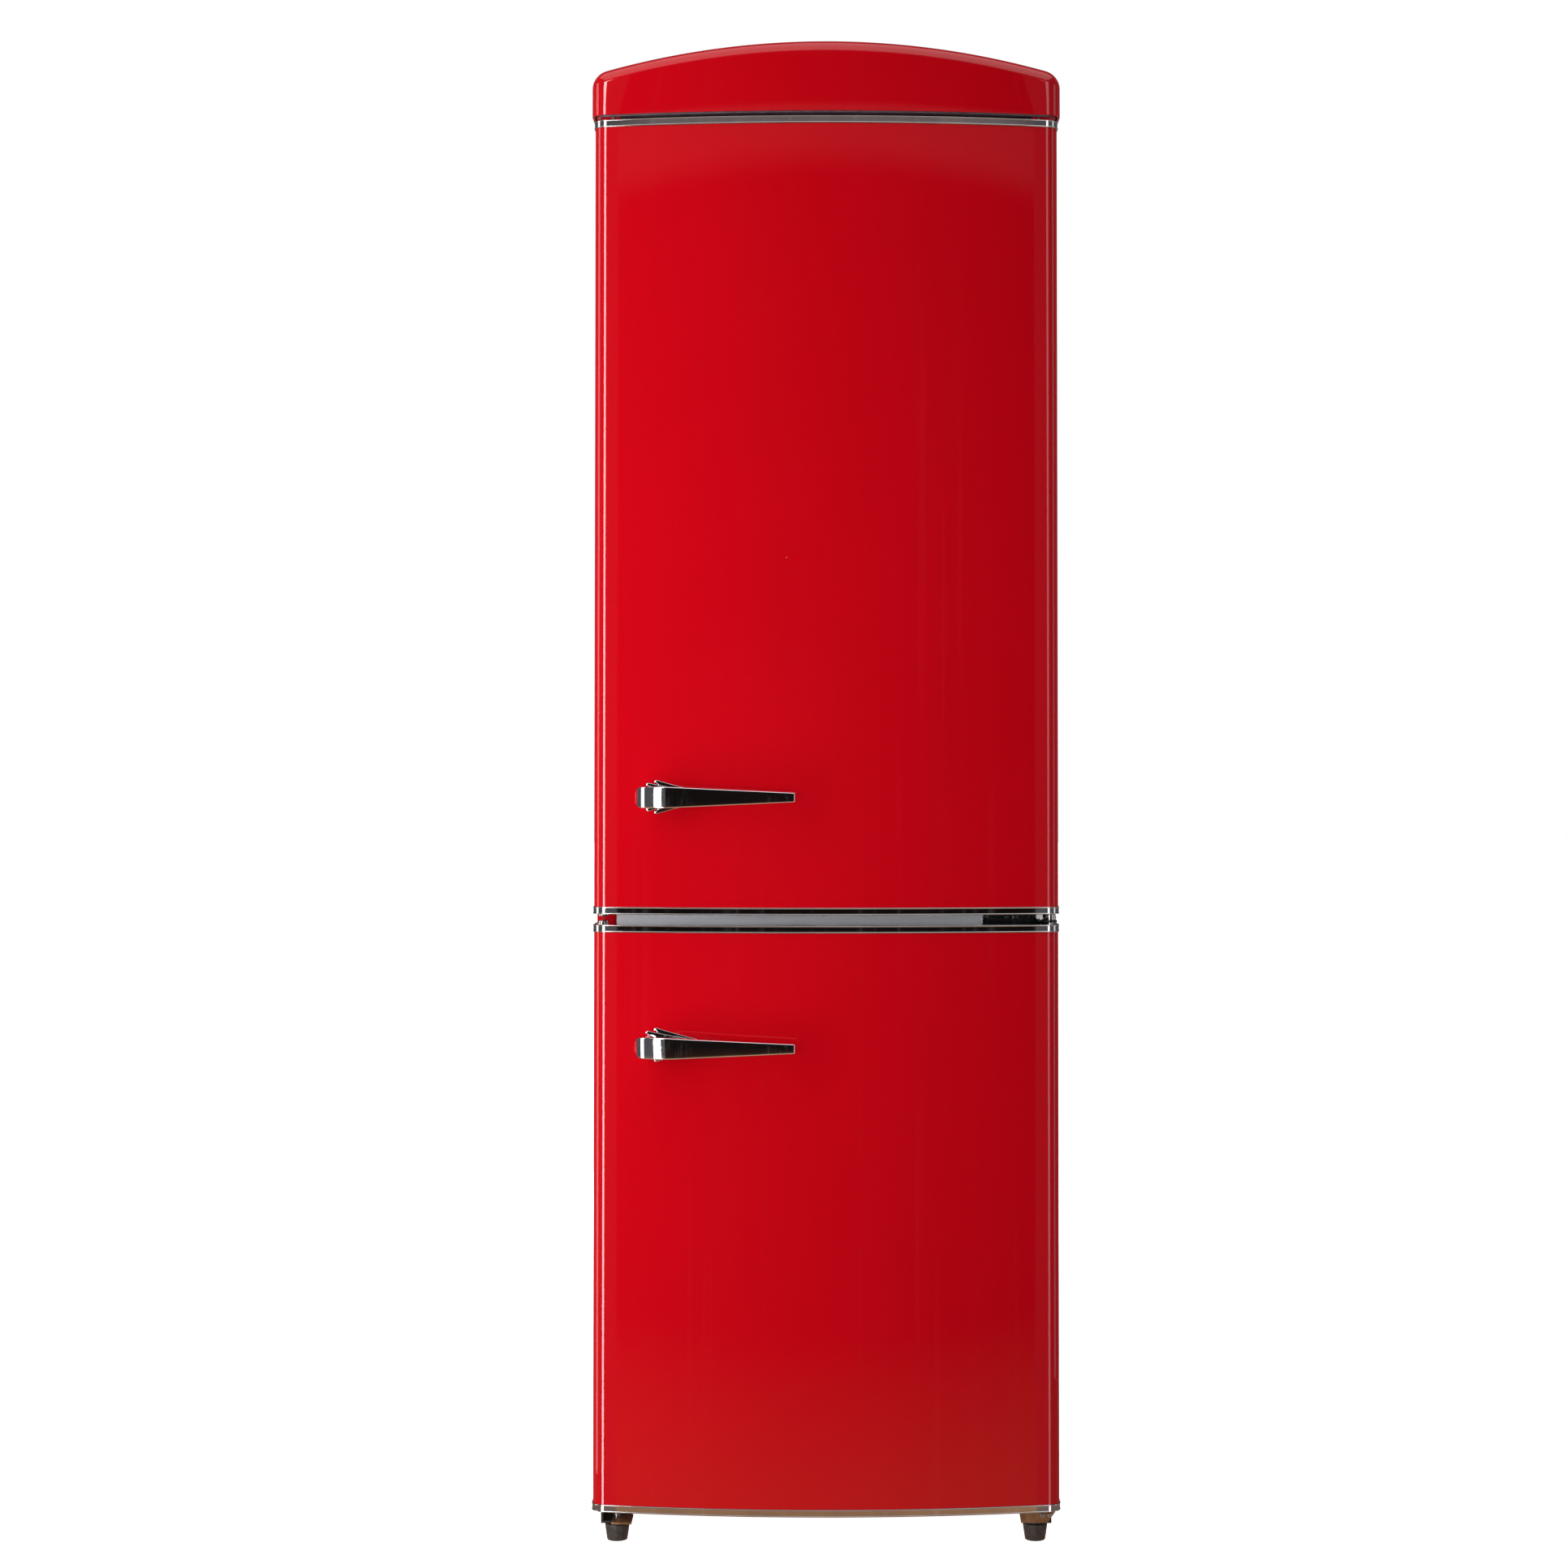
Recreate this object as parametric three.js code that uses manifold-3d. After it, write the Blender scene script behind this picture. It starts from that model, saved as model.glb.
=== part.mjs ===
// Retro fridge-freezer: fridge above, freezer below, two bow-fronted doors hinged on the right.
// Millimetres, +Z up, -Y to the front. The origin is on the floor, at the centre of the whole box.
// Inside the fridge group, y is measured from the cabinet's front face.
import * as THREE from "three";
import { mergeVertices } from "three/addons/utils/BufferGeometryUtils.js";
import { ConvexGeometry } from "three/addons/geometries/ConvexGeometry.js";
import Module from "manifold-3d";

// Overall sizes
const height = 1925; // floor to the crest of the top cap
const width = 594; // cabinet and doors
const cabinetDepth = 520; // front face to back panel
const gap = 0.3; // between pieces that touch

// Levels above the floor
const cabinetBottom = 50;
const doorLift = 3; // lower door over the cabinet's bottom
const lowerDoorHeight = 743;
const middleGap = 13.5; // between the two doors
const topGap = 6; // upper door to the cap's lip
const capHeight = 92; // lip to crest

// Cabinet walls
const wall = 47; // side walls, foam and skins together
const roofWall = 47.7;
const floorWall = 50;
const backWall = 60;
const mullionHeight = 80; // between the two compartments
const steel = 1;
const linerSheet = 2;
const flangeWidth = 25; // steel folded in round the cabinet's front
const nicheHeight = 200; // compressor niche, above the cabinet's bottom
const nicheDepth = 190;
const nicheWall = 40; // foam between the niche and the freezer

// Doors
const doorThickness = 85; // at the crest of the bow
const doorGap = 8; // door back to cabinet, filled by the gasket
const doorBow = 1555; // plan radius of the front
const doorCorner = 16; // plan radius of the vertical edges
const trimHeight = 9.3; // end caps at the top and bottom of each door
const trimProud = 1.5;
const damClearance = 12; // liner dam to the cabinet's cavity
const damWidth = 20;
const fridgeDamDepth = 24; // how far the dam reaches into the cavity
const freezerDamDepth = 12;
const gasketWidth = 14;
const gasketInset = 9; // from the door's side
const gasketEndInset = 6; // from the door's top and bottom
const hingeInset = 8; // hinge axis from the door's side
const hingeForward = 33; // hinge axis in front of the cabinet
const pinRadius = 4;
const boreClearance = 0.6;
const bushRadius = 7;

// Handles
const handleInset = 56; // door side to the handle's outer end
const leverLength = 202;
const leverReach = 44; // lever front over the door's crest
const leverBar = 11; // bar thickness, front to back
const leverRoot = 27; // bar height at the fixed end
const leverTip = 12; // bar height at the free end
const leverFoot = 40; // how far the fixed end reaches along the door
const leverBend = [38.5, 32]; // outer curve of the fixed end, across and to the front
const leverInnerBend = 14;
const leverRound = 8; // rounded outer end, seen from the front
const upperHandleHeight = 149.5; // over the upper door's bottom
const lowerHandleDrop = 151; // under the lower door's top

// Top cap
const capOverhang = 4;
const capWall = 3;
const capCrown = 1260; // radius of the arched top
const capFillet = 18;

// Inside fittings
const sheetPlastic = 2.5; // walls of trays, drawers and balconies
const balconyDepth = 102;
const balconyHeights = [90, 60, 60]; // from the lowest up
const shelfThickness = 4;
const balconyAir = 16; // balconies to the shelves
const ribReach = 6; // moulded ribs that carry the shelves
const crisperHeight = 182;
const drawerMargin = 22; // drawer side to cavity side, so that it passes the open door
const drawerRecess = 55; // drawer front behind the cabinet's front
const drawerAir = 14; // drawer rim to whatever is over it
const housingHeight = 50; // control housing under the fridge's ceiling

// Running gear
const footInset = 27;
const footSetback = 5; // foot centre behind the cabinet's front
const footRadius = 14.8;
const footHeight = 24; // cup and collar
const rollerRadius = 15;
const rollerWidth = 20;
const axleRadius = 3;
const frameSheet = 3;

// Condenser
const condenserStandoff = 32; // back panel to the coil's rear
const tubeRadius = 3;
const coilPasses = 14;
const coilRise = 40; // lowest pass over the niche

// Derived levels and places
const half = width / 2;
const doorBottom = cabinetBottom + doorLift;
const shelfRecess = balconyDepth - doorGap + balconyAir; // shelf front behind the cabinet's front
const lipZ = height - capHeight;
const cabinetTop = lipZ - gap;
const upperDoorBottom = doorBottom + lowerDoorHeight + middleGap;
const upperDoorHeight = lipZ - topGap - upperDoorBottom;
const mullionZ = upperDoorBottom - middleGap / 2;
const fridgeFloor = mullionZ + mullionHeight / 2;
const fridgeCeiling = cabinetTop - roofWall;
const freezerFloor = cabinetBottom + floorWall;
const freezerCeiling = mullionZ - mullionHeight / 2;
const cavityHalf = half - wall;
const cavityBack = cabinetDepth - backWall;
const nicheTop = cabinetBottom + nicheHeight;
const nicheFront = cabinetDepth - nicheDepth;
const stepZ = nicheTop + floorWall; // freezer floor over the niche
const stepY = nicheFront - nicheWall; // back of the freezer beside the niche
const doorBackY = -doorGap;
const crestY = doorBackY - doorThickness;
const leverY = crestY - leverReach;
const hingeX = half - hingeInset;
const hingeY = -hingeForward;
const footX = half - footInset;
const coilRear = cabinetDepth + condenserStandoff;
const coilLow = nicheTop + coilRise;
const depth = coilRear - leverY;

const wasm = await Module();
wasm.setup();

// A three.js geometry as a solid that can be joined and cut.
function solid(geometry) {
  const bare = geometry.index ? geometry.toNonIndexed() : geometry.clone();
  bare.deleteAttribute("normal");
  bare.deleteAttribute("uv");
  const merged = mergeVertices(bare, 1e-4);
  const corners = merged.index.array;
  const kept = [];
  for (let i = 0; i < corners.length; i += 3) {
    const [a, b, c] = corners.subarray(i, i + 3);
    if (a !== b && b !== c && c !== a) kept.push(a, b, c);
  }
  const vertProperties = new Float32Array(merged.attributes.position.array);
  return new wasm.Manifold(
    new wasm.Mesh({ numProp: 3, vertProperties, triVerts: new Uint32Array(kept) }),
  );
}

// A solid as a three.js geometry.
function geometryOf(made) {
  const { numProp, vertProperties, triVerts } = made.getMesh();
  const places = new Float32Array((vertProperties.length / numProp) * 3);
  for (let i = 0; i < places.length / 3; i++) {
    places.set(vertProperties.subarray(i * numProp, i * numProp + 3), i * 3);
  }
  const geometry = new THREE.BufferGeometry();
  geometry.setAttribute("position", new THREE.BufferAttribute(places, 3));
  geometry.setIndex([...triVerts]);
  return geometry.toNonIndexed();
}

// A box between two corners.
function box([x0, y0, z0], [x1, y1, z1]) {
  const geometry = new THREE.BoxGeometry(x1 - x0, y1 - y0, z1 - z0);
  return solid(geometry.translate((x0 + x1) / 2, (y0 + y1) / 2, (z0 + z1) / 2));
}

// The directions of an outline's own x, its own y and its extrusion, for each way of extruding.
const WAYS = {
  x: [new THREE.Vector3(0, 1, 0), new THREE.Vector3(0, 0, 1), new THREE.Vector3(1, 0, 0)],
  y: [new THREE.Vector3(1, 0, 0), new THREE.Vector3(0, 0, 1), new THREE.Vector3(0, -1, 0)],
  z: [new THREE.Vector3(1, 0, 0), new THREE.Vector3(0, 1, 0), new THREE.Vector3(0, 0, 1)],
};

// An outline extruded along an axis, from the lower to the higher coordinate.
function prism(along, outline, low, high) {
  const shape = new THREE.Shape(outline.map(([a, b]) => new THREE.Vector2(a, b)));
  const geometry = new THREE.ExtrudeGeometry(shape, { depth: high - low, bevelEnabled: false });
  const start = along === "y" ? -high : low;
  geometry.translate(0, 0, start);
  geometry.applyMatrix4(new THREE.Matrix4().makeBasis(...WAYS[along]));
  return solid(geometry);
}

// Points round an arc, angles in radians.
function arc([x, y], radius, from, to, steps) {
  return Array.from({ length: steps + 1 }, (_, i) => {
    const angle = from + ((to - from) * i) / steps;
    return [x + radius * Math.cos(angle), y + radius * Math.sin(angle)];
  });
}

// A round bar along an axis, centred on its two other coordinates in x, y, z order.
function bar(along, [a, b], radius, low, high, sides = 16) {
  const outline = arc([a, b], radius, 0, 2 * Math.PI, sides).slice(0, -1);
  return prism(along, outline, low, high);
}

// A profile of [radius, z] points, from axis to axis, turned about Z.
function turned(profile, sides) {
  const geometry = new THREE.LatheGeometry(profile.map(([r, z]) => new THREE.Vector2(r, z)), sides);
  return solid(geometry.rotateX(Math.PI / 2));
}

// An open-topped tray with walls of one thickness.
function tray([x0, y0, z0], [x1, y1, z1], thick) {
  const inside = box([x0 + thick, y0 + thick, z0 + thick], [x1 - thick, y1 - thick, z1 + thick]);
  return box([x0, y0, z0], [x1, y1, z1]).subtract(inside);
}

// A tube along straight runs through a list of points, each corner rounded.
function tube(points, radius, bend, steps) {
  const corners = points.map((p) => new THREE.Vector3(...p));
  const path = new THREE.CurvePath();
  let from = corners[0];
  corners.slice(1, -1).forEach((corner, i) => {
    const before = corner.clone().add(from.clone().sub(corner).setLength(bend));
    const after = corner.clone().add(corners[i + 2].clone().sub(corner).setLength(bend));
    path.add(new THREE.LineCurve3(from, before));
    path.add(new THREE.QuadraticBezierCurve3(before, corner, after));
    from = after;
  });
  path.add(new THREE.LineCurve3(from, corners.at(-1)));
  const section = arc([0, 0], radius, 0, 2 * Math.PI, 8).slice(0, -1);
  const shape = new THREE.Shape(section.map(([a, b]) => new THREE.Vector2(a, b)));
  return solid(new THREE.ExtrudeGeometry(shape, { steps, bevelEnabled: false, extrudePath: path }));
}

// Materials
const material = (color, roughness, metalness = 0, opacity = 1) =>
  new THREE.MeshStandardMaterial({
    color,
    roughness,
    metalness,
    opacity,
    transparent: opacity < 1,
  });
const MATERIALS = {
  redLacquer: () => material(0xc00d1c, 0.18),
  foam: () => material(0xe0cf8f, 0.95),
  whiteLiner: () => material(0xf1f2ef, 0.35),
  chrome: () => material(0xd0d2d6, 0.08, 1),
  greySteel: () => material(0x9aa0ae, 0.4, 0.3),
  zincSteel: () => material(0xa9adb2, 0.4, 1),
  blackSteel: () => material(0x17181a, 0.5, 0.4),
  blackPlastic: () => material(0x1d1e20, 0.55),
  whitePlastic: () => material(0xf0f0ec, 0.4),
  whiteRubber: () => material(0xd9dad7, 0.8),
  copper: () => material(0xb56a43, 0.3, 1),
  glass: () => material(0xcfe3df, 0.05, 0, 0.4),
  clearPlastic: () => material(0xdfe8ee, 0.15, 0, 0.5),
};

// A named sub-part, added to its group and put in its place.
function add(group, name, made, finish, place = [0, 0, 0]) {
  const mesh = new THREE.Mesh(geometryOf(made), MATERIALS[finish]());
  mesh.name = name;
  mesh.position.set(...place);
  group.add(mesh);
}

// Plan outline of a door, pulled in by an inset: rounded corners, bowed front and a flat back.
function bowOutline(inset, backY, bowSteps = 12, cornerSteps = 3) {
  const cornerX = half - doorCorner;
  const bowY = crestY + doorBow;
  const reach = doorBow - doorCorner;
  const cornerY = bowY - Math.sqrt(reach ** 2 - cornerX ** 2);
  const turn = Math.asin(cornerX / reach);
  const meet = -Math.PI / 2 + turn;
  const right = arc([cornerX, cornerY], doorCorner - inset, 0, meet, cornerSteps);
  const front = arc([0, bowY], doorBow - inset, meet, -Math.PI / 2 - turn, bowSteps);
  const left = right.map(([x, y]) => [-x, y]).reverse();
  return [[half - inset, backY], ...right, ...front.slice(1, -1), ...left, [inset - half, backY]];
}

// Folded steel round the door's front and sides, with a short lip turned in at the back.
function doorSkin(doorHeight) {
  const low = trimHeight + gap;
  const high = doorHeight - trimHeight - gap;
  const outer = prism("z", bowOutline(0, doorBackY), low, high);
  const inner = prism("z", bowOutline(steel, doorBackY - steel), low - 1, high + 1);
  const mouth = half - 6;
  const opening = box([-mouth, doorBackY - 2 * steel, low - 1], [mouth, doorBackY + 1, high + 1]);
  return outer.subtract(inner).subtract(opening);
}

// A rectangular frame that stands in the XZ plane.
function ring(halfWidth, low, high, band, y0, y1) {
  const hole = [halfWidth - band, low + band, high - band];
  const block = box([-halfWidth, y0, low], [halfWidth, y1, high]);
  return block.subtract(box([-hole[0], y0 - 1, hole[1]], [hole[0], y1 + 1, hole[2]]));
}

// The dam on the door's inner side, pulled in by an inset.
function dam({ damLow, damHigh }, inset, y0, y1) {
  const halfWidth = cavityHalf - damClearance - inset;
  return ring(halfWidth, damLow + inset, damHigh - inset, damWidth - 2 * inset, y0, y1);
}

// Foam that fills the door and the dam behind the liner.
function doorInsulation(door) {
  const end = trimHeight + gap;
  const backY = doorBackY - linerSheet - gap;
  const body = prism("z", bowOutline(steel + gap, backY), end, door.doorHeight - end);
  const inset = linerSheet + gap;
  return body.add(dam(door, inset, backY - 1, door.damDepth - inset));
}

// Moulded white sheet over the back of the door, with the dam that holds the balconies.
function doorLiner(door) {
  const end = trimHeight + gap;
  const reach = half - 6 - gap;
  const plate = box(
    [-reach, doorBackY - linerSheet, end],
    [reach, doorBackY, door.doorHeight - end],
  );
  const outer = dam(door, 0, doorBackY - 1, door.damDepth);
  const inner = dam(door, linerSheet, doorBackY - linerSheet - 1, door.damDepth - linerSheet);
  return plate.add(outer).subtract(inner);
}

function doorGasket(doorHeight) {
  const high = doorHeight - gasketEndInset;
  return ring(half - gasketInset, gasketEndInset, high, gasketWidth, doorBackY + gap, -gap);
}

// End cap of a door, with a bore for its hinge bush.
function doorTrim() {
  const bore = bar("z", [hingeX, hingeY], bushRadius + gap, -1, trimHeight + 1);
  return prism("z", bowOutline(-trimProud, doorBackY), 0, trimHeight).subtract(bore);
}

// Blind bush that takes a hinge pin, open downwards.
function hingeBush() {
  const floor = 0.8;
  const pocket = bar("z", [hingeX, hingeY], pinRadius + boreClearance, -1, trimHeight - floor);
  return bar("z", [hingeX, hingeY], bushRadius, 0, trimHeight).subtract(pocket);
}

// Fin plates of a handle's base, the lower one first: where its edge and its tip stand, from the
// handle's outer end, how far the tip rises over the handle's axis, and the plate's lift off the door.
const FINS = [
  { edge: 15.5, tip: 22.5, rise: 21.6, lift: 4 },
  { edge: 6.5, tip: 12, rise: 17.8, lift: 8 },
];
const finEnd = 90; // where the fins run out under the lever
const leverX = -half + handleInset;

// Stacked leaf-shaped plates, bedded on the door's bowed front.
function handleBase() {
  const door = prism("z", bowOutline(-gap, 0, 24), -2 * leverRoot, 2 * leverRoot);
  return FINS.map(({ tip, rise, edge, lift }) => {
    const upper = [
      [leverX + edge, 0],
      [leverX + edge + 1, rise * 0.55],
      [leverX + tip, rise],
      [leverX + tip + 24, rise * 0.8],
      [leverX + finEnd, leverTip / 2],
    ];
    const lower = upper.slice(1).reverse().map(([x, z]) => [x, -z]);
    const leaf = prism("y", [...upper, ...lower], crestY - 2 * lift, 0);
    const surface = prism("z", bowOutline(-lift, 0, 24), -2 * leverRoot, 2 * leverRoot);
    return leaf.intersect(surface).subtract(door);
  }).reduce((whole, plate) => whole.add(plate));
}

// Tapered lever: a bar whose outer end bends back on to the base.
function handleLever() {
  const tipX = leverX + leverLength;
  const footEnd = leverX + leverFoot;
  const quarter = (cx, cy, rx, ry, steps) =>
    Array.from({ length: steps + 1 }, (_, i) => {
      const angle = (i * Math.PI) / 2 / steps;
      return [cx - rx * Math.sin(angle), cy - ry * Math.cos(angle)];
    });
  const backY = leverY + leverBar;
  const plan = [
    [tipX, leverY + 2],
    [tipX - 2, leverY],
    ...quarter(leverX + leverBend[0], leverY + leverBend[1], ...leverBend, 6),
    [leverX, 0],
    [footEnd, 0],
    ...quarter(footEnd + leverInnerBend, backY + leverInnerBend, leverInnerBend, leverInnerBend, 4)
      .reverse(),
    [tipX, backY - 3],
  ];
  const top = [
    ...arc([leverX + leverRound, leverRoot / 2 - leverRound], leverRound, Math.PI, Math.PI / 2, 4),
    [leverX + leverFoot, leverRoot / 2 - 0.6],
    [tipX, leverTip / 2],
  ];
  const elevation = [...top, ...top.map(([x, z]) => [x, -z]).reverse()];
  const side = prism("y", elevation, leverY - 1, 1);
  const base = prism("z", bowOutline(-FINS[1].lift - gap, 1, 24), -leverRoot, leverRoot);
  return prism("z", plan, -leverRoot, leverRoot).intersect(side).subtract(base);
}

// One door, built in its own frame from its bottom edge up.
function makeDoor(name, handleName, bottomZ, doorHeight, [floor, ceiling], damDepth, handleZ) {
  const door = new THREE.Group();
  door.position.z = bottomZ;
  const damLow = floor + damClearance - bottomZ;
  const damHigh = ceiling - damClearance - bottomZ;
  const inside = { doorHeight, damLow, damHigh, damDepth };
  add(door, `${name}_skin`, doorSkin(doorHeight), "redLacquer");
  add(door, `${name}_insulation`, doorInsulation(inside), "foam");
  add(door, `${name}_liner`, doorLiner(inside), "whiteLiner");
  add(door, `${name}_gasket`, doorGasket(doorHeight), "whiteRubber");
  add(door, `${name}_bottom_trim`, doorTrim(), "chrome");
  add(door, `${name}_top_trim`, doorTrim(), "chrome", [0, 0, doorHeight - trimHeight]);
  add(door, `${name}_bottom_bush`, hingeBush(), "whitePlastic");
  const flipped = new THREE.Group();
  flipped.position.set(0, 2 * hingeY, doorHeight);
  flipped.rotation.x = Math.PI;
  add(flipped, `${name}_top_bush`, hingeBush(), "whitePlastic");
  door.add(flipped);
  add(door, `${handleName}_base`, handleBase(), "chrome", [0, 0, handleZ]);
  add(door, `${handleName}_lever`, handleLever(), "chrome", [0, 0, handleZ]);
  return door;
}

// Folded steel cabinet: sides, roof and front part of the floor, turned in round the front.
function cabinetShell() {
  const back = cabinetDepth - steel - gap;
  const outer = box([-half, 0, cabinetBottom], [half, back, cabinetTop]);
  const inner = box(
    [steel - half, steel, cabinetBottom + steel],
    [half - steel, back + 1, cabinetTop - steel],
  );
  const frontOpening = box(
    [flangeWidth - half, -1, cabinetBottom + flangeWidth],
    [half - flangeWidth, 2 * steel, cabinetTop - flangeWidth],
  );
  const nicheOpening = box(
    [-cavityHalf, nicheFront, cabinetBottom - 1],
    [cavityHalf, back + 1, cabinetBottom + 2 * steel],
  );
  return outer.subtract(inner).subtract(frontOpening).subtract(nicheOpening);
}

// The freezer's space in side view, stepped over the compressor niche, grown by a margin.
function freezerOutline(margin, frontY) {
  return [
    [frontY, freezerFloor - margin],
    [stepY + margin, freezerFloor - margin],
    [stepY + margin, stepZ - margin],
    [cavityBack + margin, stepZ - margin],
    [cavityBack + margin, freezerCeiling + margin],
    [frontY, freezerCeiling + margin],
  ];
}

function fridgeSpace(margin, frontY) {
  return box(
    [-cavityHalf - margin, frontY, fridgeFloor - margin],
    [cavityHalf + margin, cavityBack + margin, fridgeCeiling + margin],
  );
}

function freezerSpace(margin, frontY) {
  const reach = cavityHalf + margin;
  return prism("x", freezerOutline(margin, frontY), -reach, reach);
}

function nicheSpace(margin) {
  return box(
    [-cavityHalf - margin, nicheFront - margin, cabinetBottom - 1],
    [cavityHalf + margin, cabinetDepth + 1, nicheTop + margin],
  );
}

// Foam between the cabinet's skins, round both spaces and the niche.
function cabinetInsulation() {
  const skin = steel + gap;
  const block = box(
    [skin - half, linerSheet + gap, cabinetBottom + skin],
    [half - skin, cabinetDepth - skin - gap, cabinetTop - skin],
  );
  const lined = linerSheet + gap;
  return block
    .subtract(fridgeSpace(lined, -1))
    .subtract(freezerSpace(lined, -1))
    .subtract(nicheSpace(skin));
}

const linerReach = half - flangeWidth - gap; // edge of the liners' front flanges
const housingLow = fridgeCeiling - housingHeight;
const crisperCoverZ = fridgeFloor + crisperHeight + drawerAir;
const shelfPitch = (housingLow - crisperCoverZ) / 4;
const shelfZ = [3, 2, 1].map((i) => crisperCoverZ + i * shelfPitch);
const ribZ = [...shelfZ, crisperCoverZ];

// White moulded fridge liner, with the ribs that carry its shelves.
function fridgeLiner() {
  const flange = box([-linerReach, 0, fridgeFloor - linerSheet], [
    linerReach,
    linerSheet,
    cabinetTop - flangeWidth - gap,
  ]);
  const shell = fridgeSpace(linerSheet, 0).add(flange).subtract(fridgeSpace(0, -1));
  return [-1, 1].reduce(
    (whole, side) =>
      ribZ.reduce((made, z) => {
        const xs = [side * (cavityHalf - ribReach), side * (cavityHalf + 1)].sort((a, b) => a - b);
        const rib = box([xs[0], shelfRecess, z - gap - 5], [xs[1], cavityBack - 15, z - gap]);
        return made.add(rib);
      }, whole),
    shell,
  );
}

function freezerLiner() {
  const flange = box([-linerReach, 0, cabinetBottom + flangeWidth + gap], [
    linerReach,
    linerSheet,
    freezerCeiling + linerSheet,
  ]);
  return freezerSpace(linerSheet, 0).add(flange).subtract(freezerSpace(0, -1));
}

// Grey rail over the front of the wall between the two spaces, with a groove along it.
function mullionRail() {
  const low = freezerCeiling + linerSheet + gap;
  const high = fridgeFloor - linerSheet - gap;
  const groove = box([-half, -1, mullionZ - 1.5], [half, 0.7, mullionZ + 1.5]);
  return box([-linerReach, 0, low], [linerReach, linerSheet, high]).subtract(groove);
}

function backPanel() {
  const y = [cabinetDepth - steel, cabinetDepth];
  const sheet = box([-half, y[0], cabinetBottom], [half, y[1], cabinetTop]);
  return sheet.subtract(nicheSpace(0));
}

// Sheet steel front and roof of the compressor niche.
function nichePanel() {
  const reach = cavityHalf - gap;
  const low = cabinetBottom + 2 * steel;
  const back = cabinetDepth - 2 * steel;
  const outline = [
    [nicheFront, low],
    [nicheFront + steel, low],
    [nicheFront + steel, nicheTop - steel],
    [back, nicheTop - steel],
    [back, nicheTop],
    [nicheFront, nicheTop],
  ];
  return prism("x", outline, -reach, reach);
}

// Hollow hood over the cabinet and the upper door, arched from side to side.
function topCap() {
  const crownZ = height - capCrown;
  const hull = (inset, bottom) => {
    const points = [];
    const fillet = capFillet - inset;
    const rings = 4;
    const addRing = (pull, drop, low) => {
      const outline = bowOutline(inset + pull - capOverhang, cabinetDepth - inset, 12, 3);
      const backs = outline.map(([x]) => [x, cabinetDepth - inset]);
      for (const [x, y] of [...outline, ...backs]) {
        const top = crownZ + Math.sqrt((capCrown - inset) ** 2 - x ** 2);
        points.push(new THREE.Vector3(x, y, low ?? top - drop));
      }
    };
    addRing(0, 0, bottom);
    for (let i = 0; i <= rings; i++) {
      const angle = (i * Math.PI) / 2 / rings;
      addRing(fillet * (1 - Math.cos(angle)), fillet * (1 - Math.sin(angle)));
    }
    return solid(new ConvexGeometry(points));
  };
  return hull(0, lipZ).subtract(hull(capWall, lipZ - 10));
}

// Pressed steel chassis: side rails, cross plates, the left foot's bracket and the roller axles.
function baseFrame() {
  const top = cabinetBottom - gap;
  const railX = [half - 41, half - 7];
  const front = 46;
  const back = cabinetDepth - 10;
  const sides = [-1, 1].map((side) => {
    const span = (a, b) => [side * a, side * b].sort((p, q) => p - q);
    const flange = span(...railX);
    const web = span(railX[1] - frameSheet, railX[1]);
    const rollerY = cabinetDepth - 40;
    const axle = span(railX[1] - frameSheet - rollerWidth - 2, railX[1] - 1);
    const head = span(railX[1] - frameSheet - rollerWidth - 4, railX[1] - frameSheet - rollerWidth - 1);
    return box([flange[0], front, top - frameSheet], [flange[1], back, top])
      .add(box([web[0], front, footHeight + 6], [web[1], back, top]))
      .add(box([web[0], rollerY - 18, 7], [web[1], rollerY + 18, top]))
      .add(bar("x", [rollerY, rollerRadius], axleRadius, ...axle, 12))
      .add(bar("x", [rollerY, rollerRadius], 2 * axleRadius, ...head, 12));
  });
  const cross = (y0, y1) => box([-railX[1] + 1, y0, top - frameSheet], [railX[1] - 1, y1, top]);
  const bracketX = [-half + 7, -half + 45];
  const bracketZ = footHeight + gap;
  const bracket = box([bracketX[0], -12, bracketZ], [bracketX[1], front + 20, bracketZ + frameSheet])
    .add(box([bracketX[0], -12, bracketZ], [bracketX[0] + frameSheet, front + 20, top]))
    .subtract(bar("z", [-footX, footSetback], 5 + boreClearance, 0, cabinetBottom, 12));
  return sides[0]
    .add(sides[1])
    .add(cross(front, front + 40))
    .add(cross(nicheFront + 12, back - 10))
    .add(bracket);
}

// Adjustable front foot: faceted cup, collar and threaded stem.
function footSolid() {
  const profile = [
    [0, 0],
    [footRadius - 2.5, 0],
    [footRadius, footHeight - 6],
    [footRadius, footHeight - 3.2],
    [9, footHeight - 3.2],
    [9, footHeight],
    [5, footHeight],
    [5, cabinetBottom - 6],
    [0, cabinetBottom - 6],
  ];
  return turned(profile, 12);
}

function rearRoller() {
  const side = rollerWidth / 2 - gap;
  const hole = bar("x", [0, 0], axleRadius + boreClearance, -side - 1, side + 1, 12);
  return bar("x", [0, 0], rollerRadius, -side, side, 24).subtract(hole);
}

// Plate on the cabinet's top, under the cap, with the upper pin hanging from it.
function topHinge() {
  const low = lipZ;
  const plate = box([hingeX - 50, 8, low], [half - 1, 70, low + frameSheet])
    .add(box([hingeX - 14, hingeY, low], [hingeX + 5, 20, low + frameSheet]))
    .add(bar("z", [hingeX, hingeY], pinRadius + 3, low, low + frameSheet));
  const reach = lipZ - topGap - trimHeight + 1.3;
  return plate.add(bar("z", [hingeX, hingeY], pinRadius, reach, low + 1));
}

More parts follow.
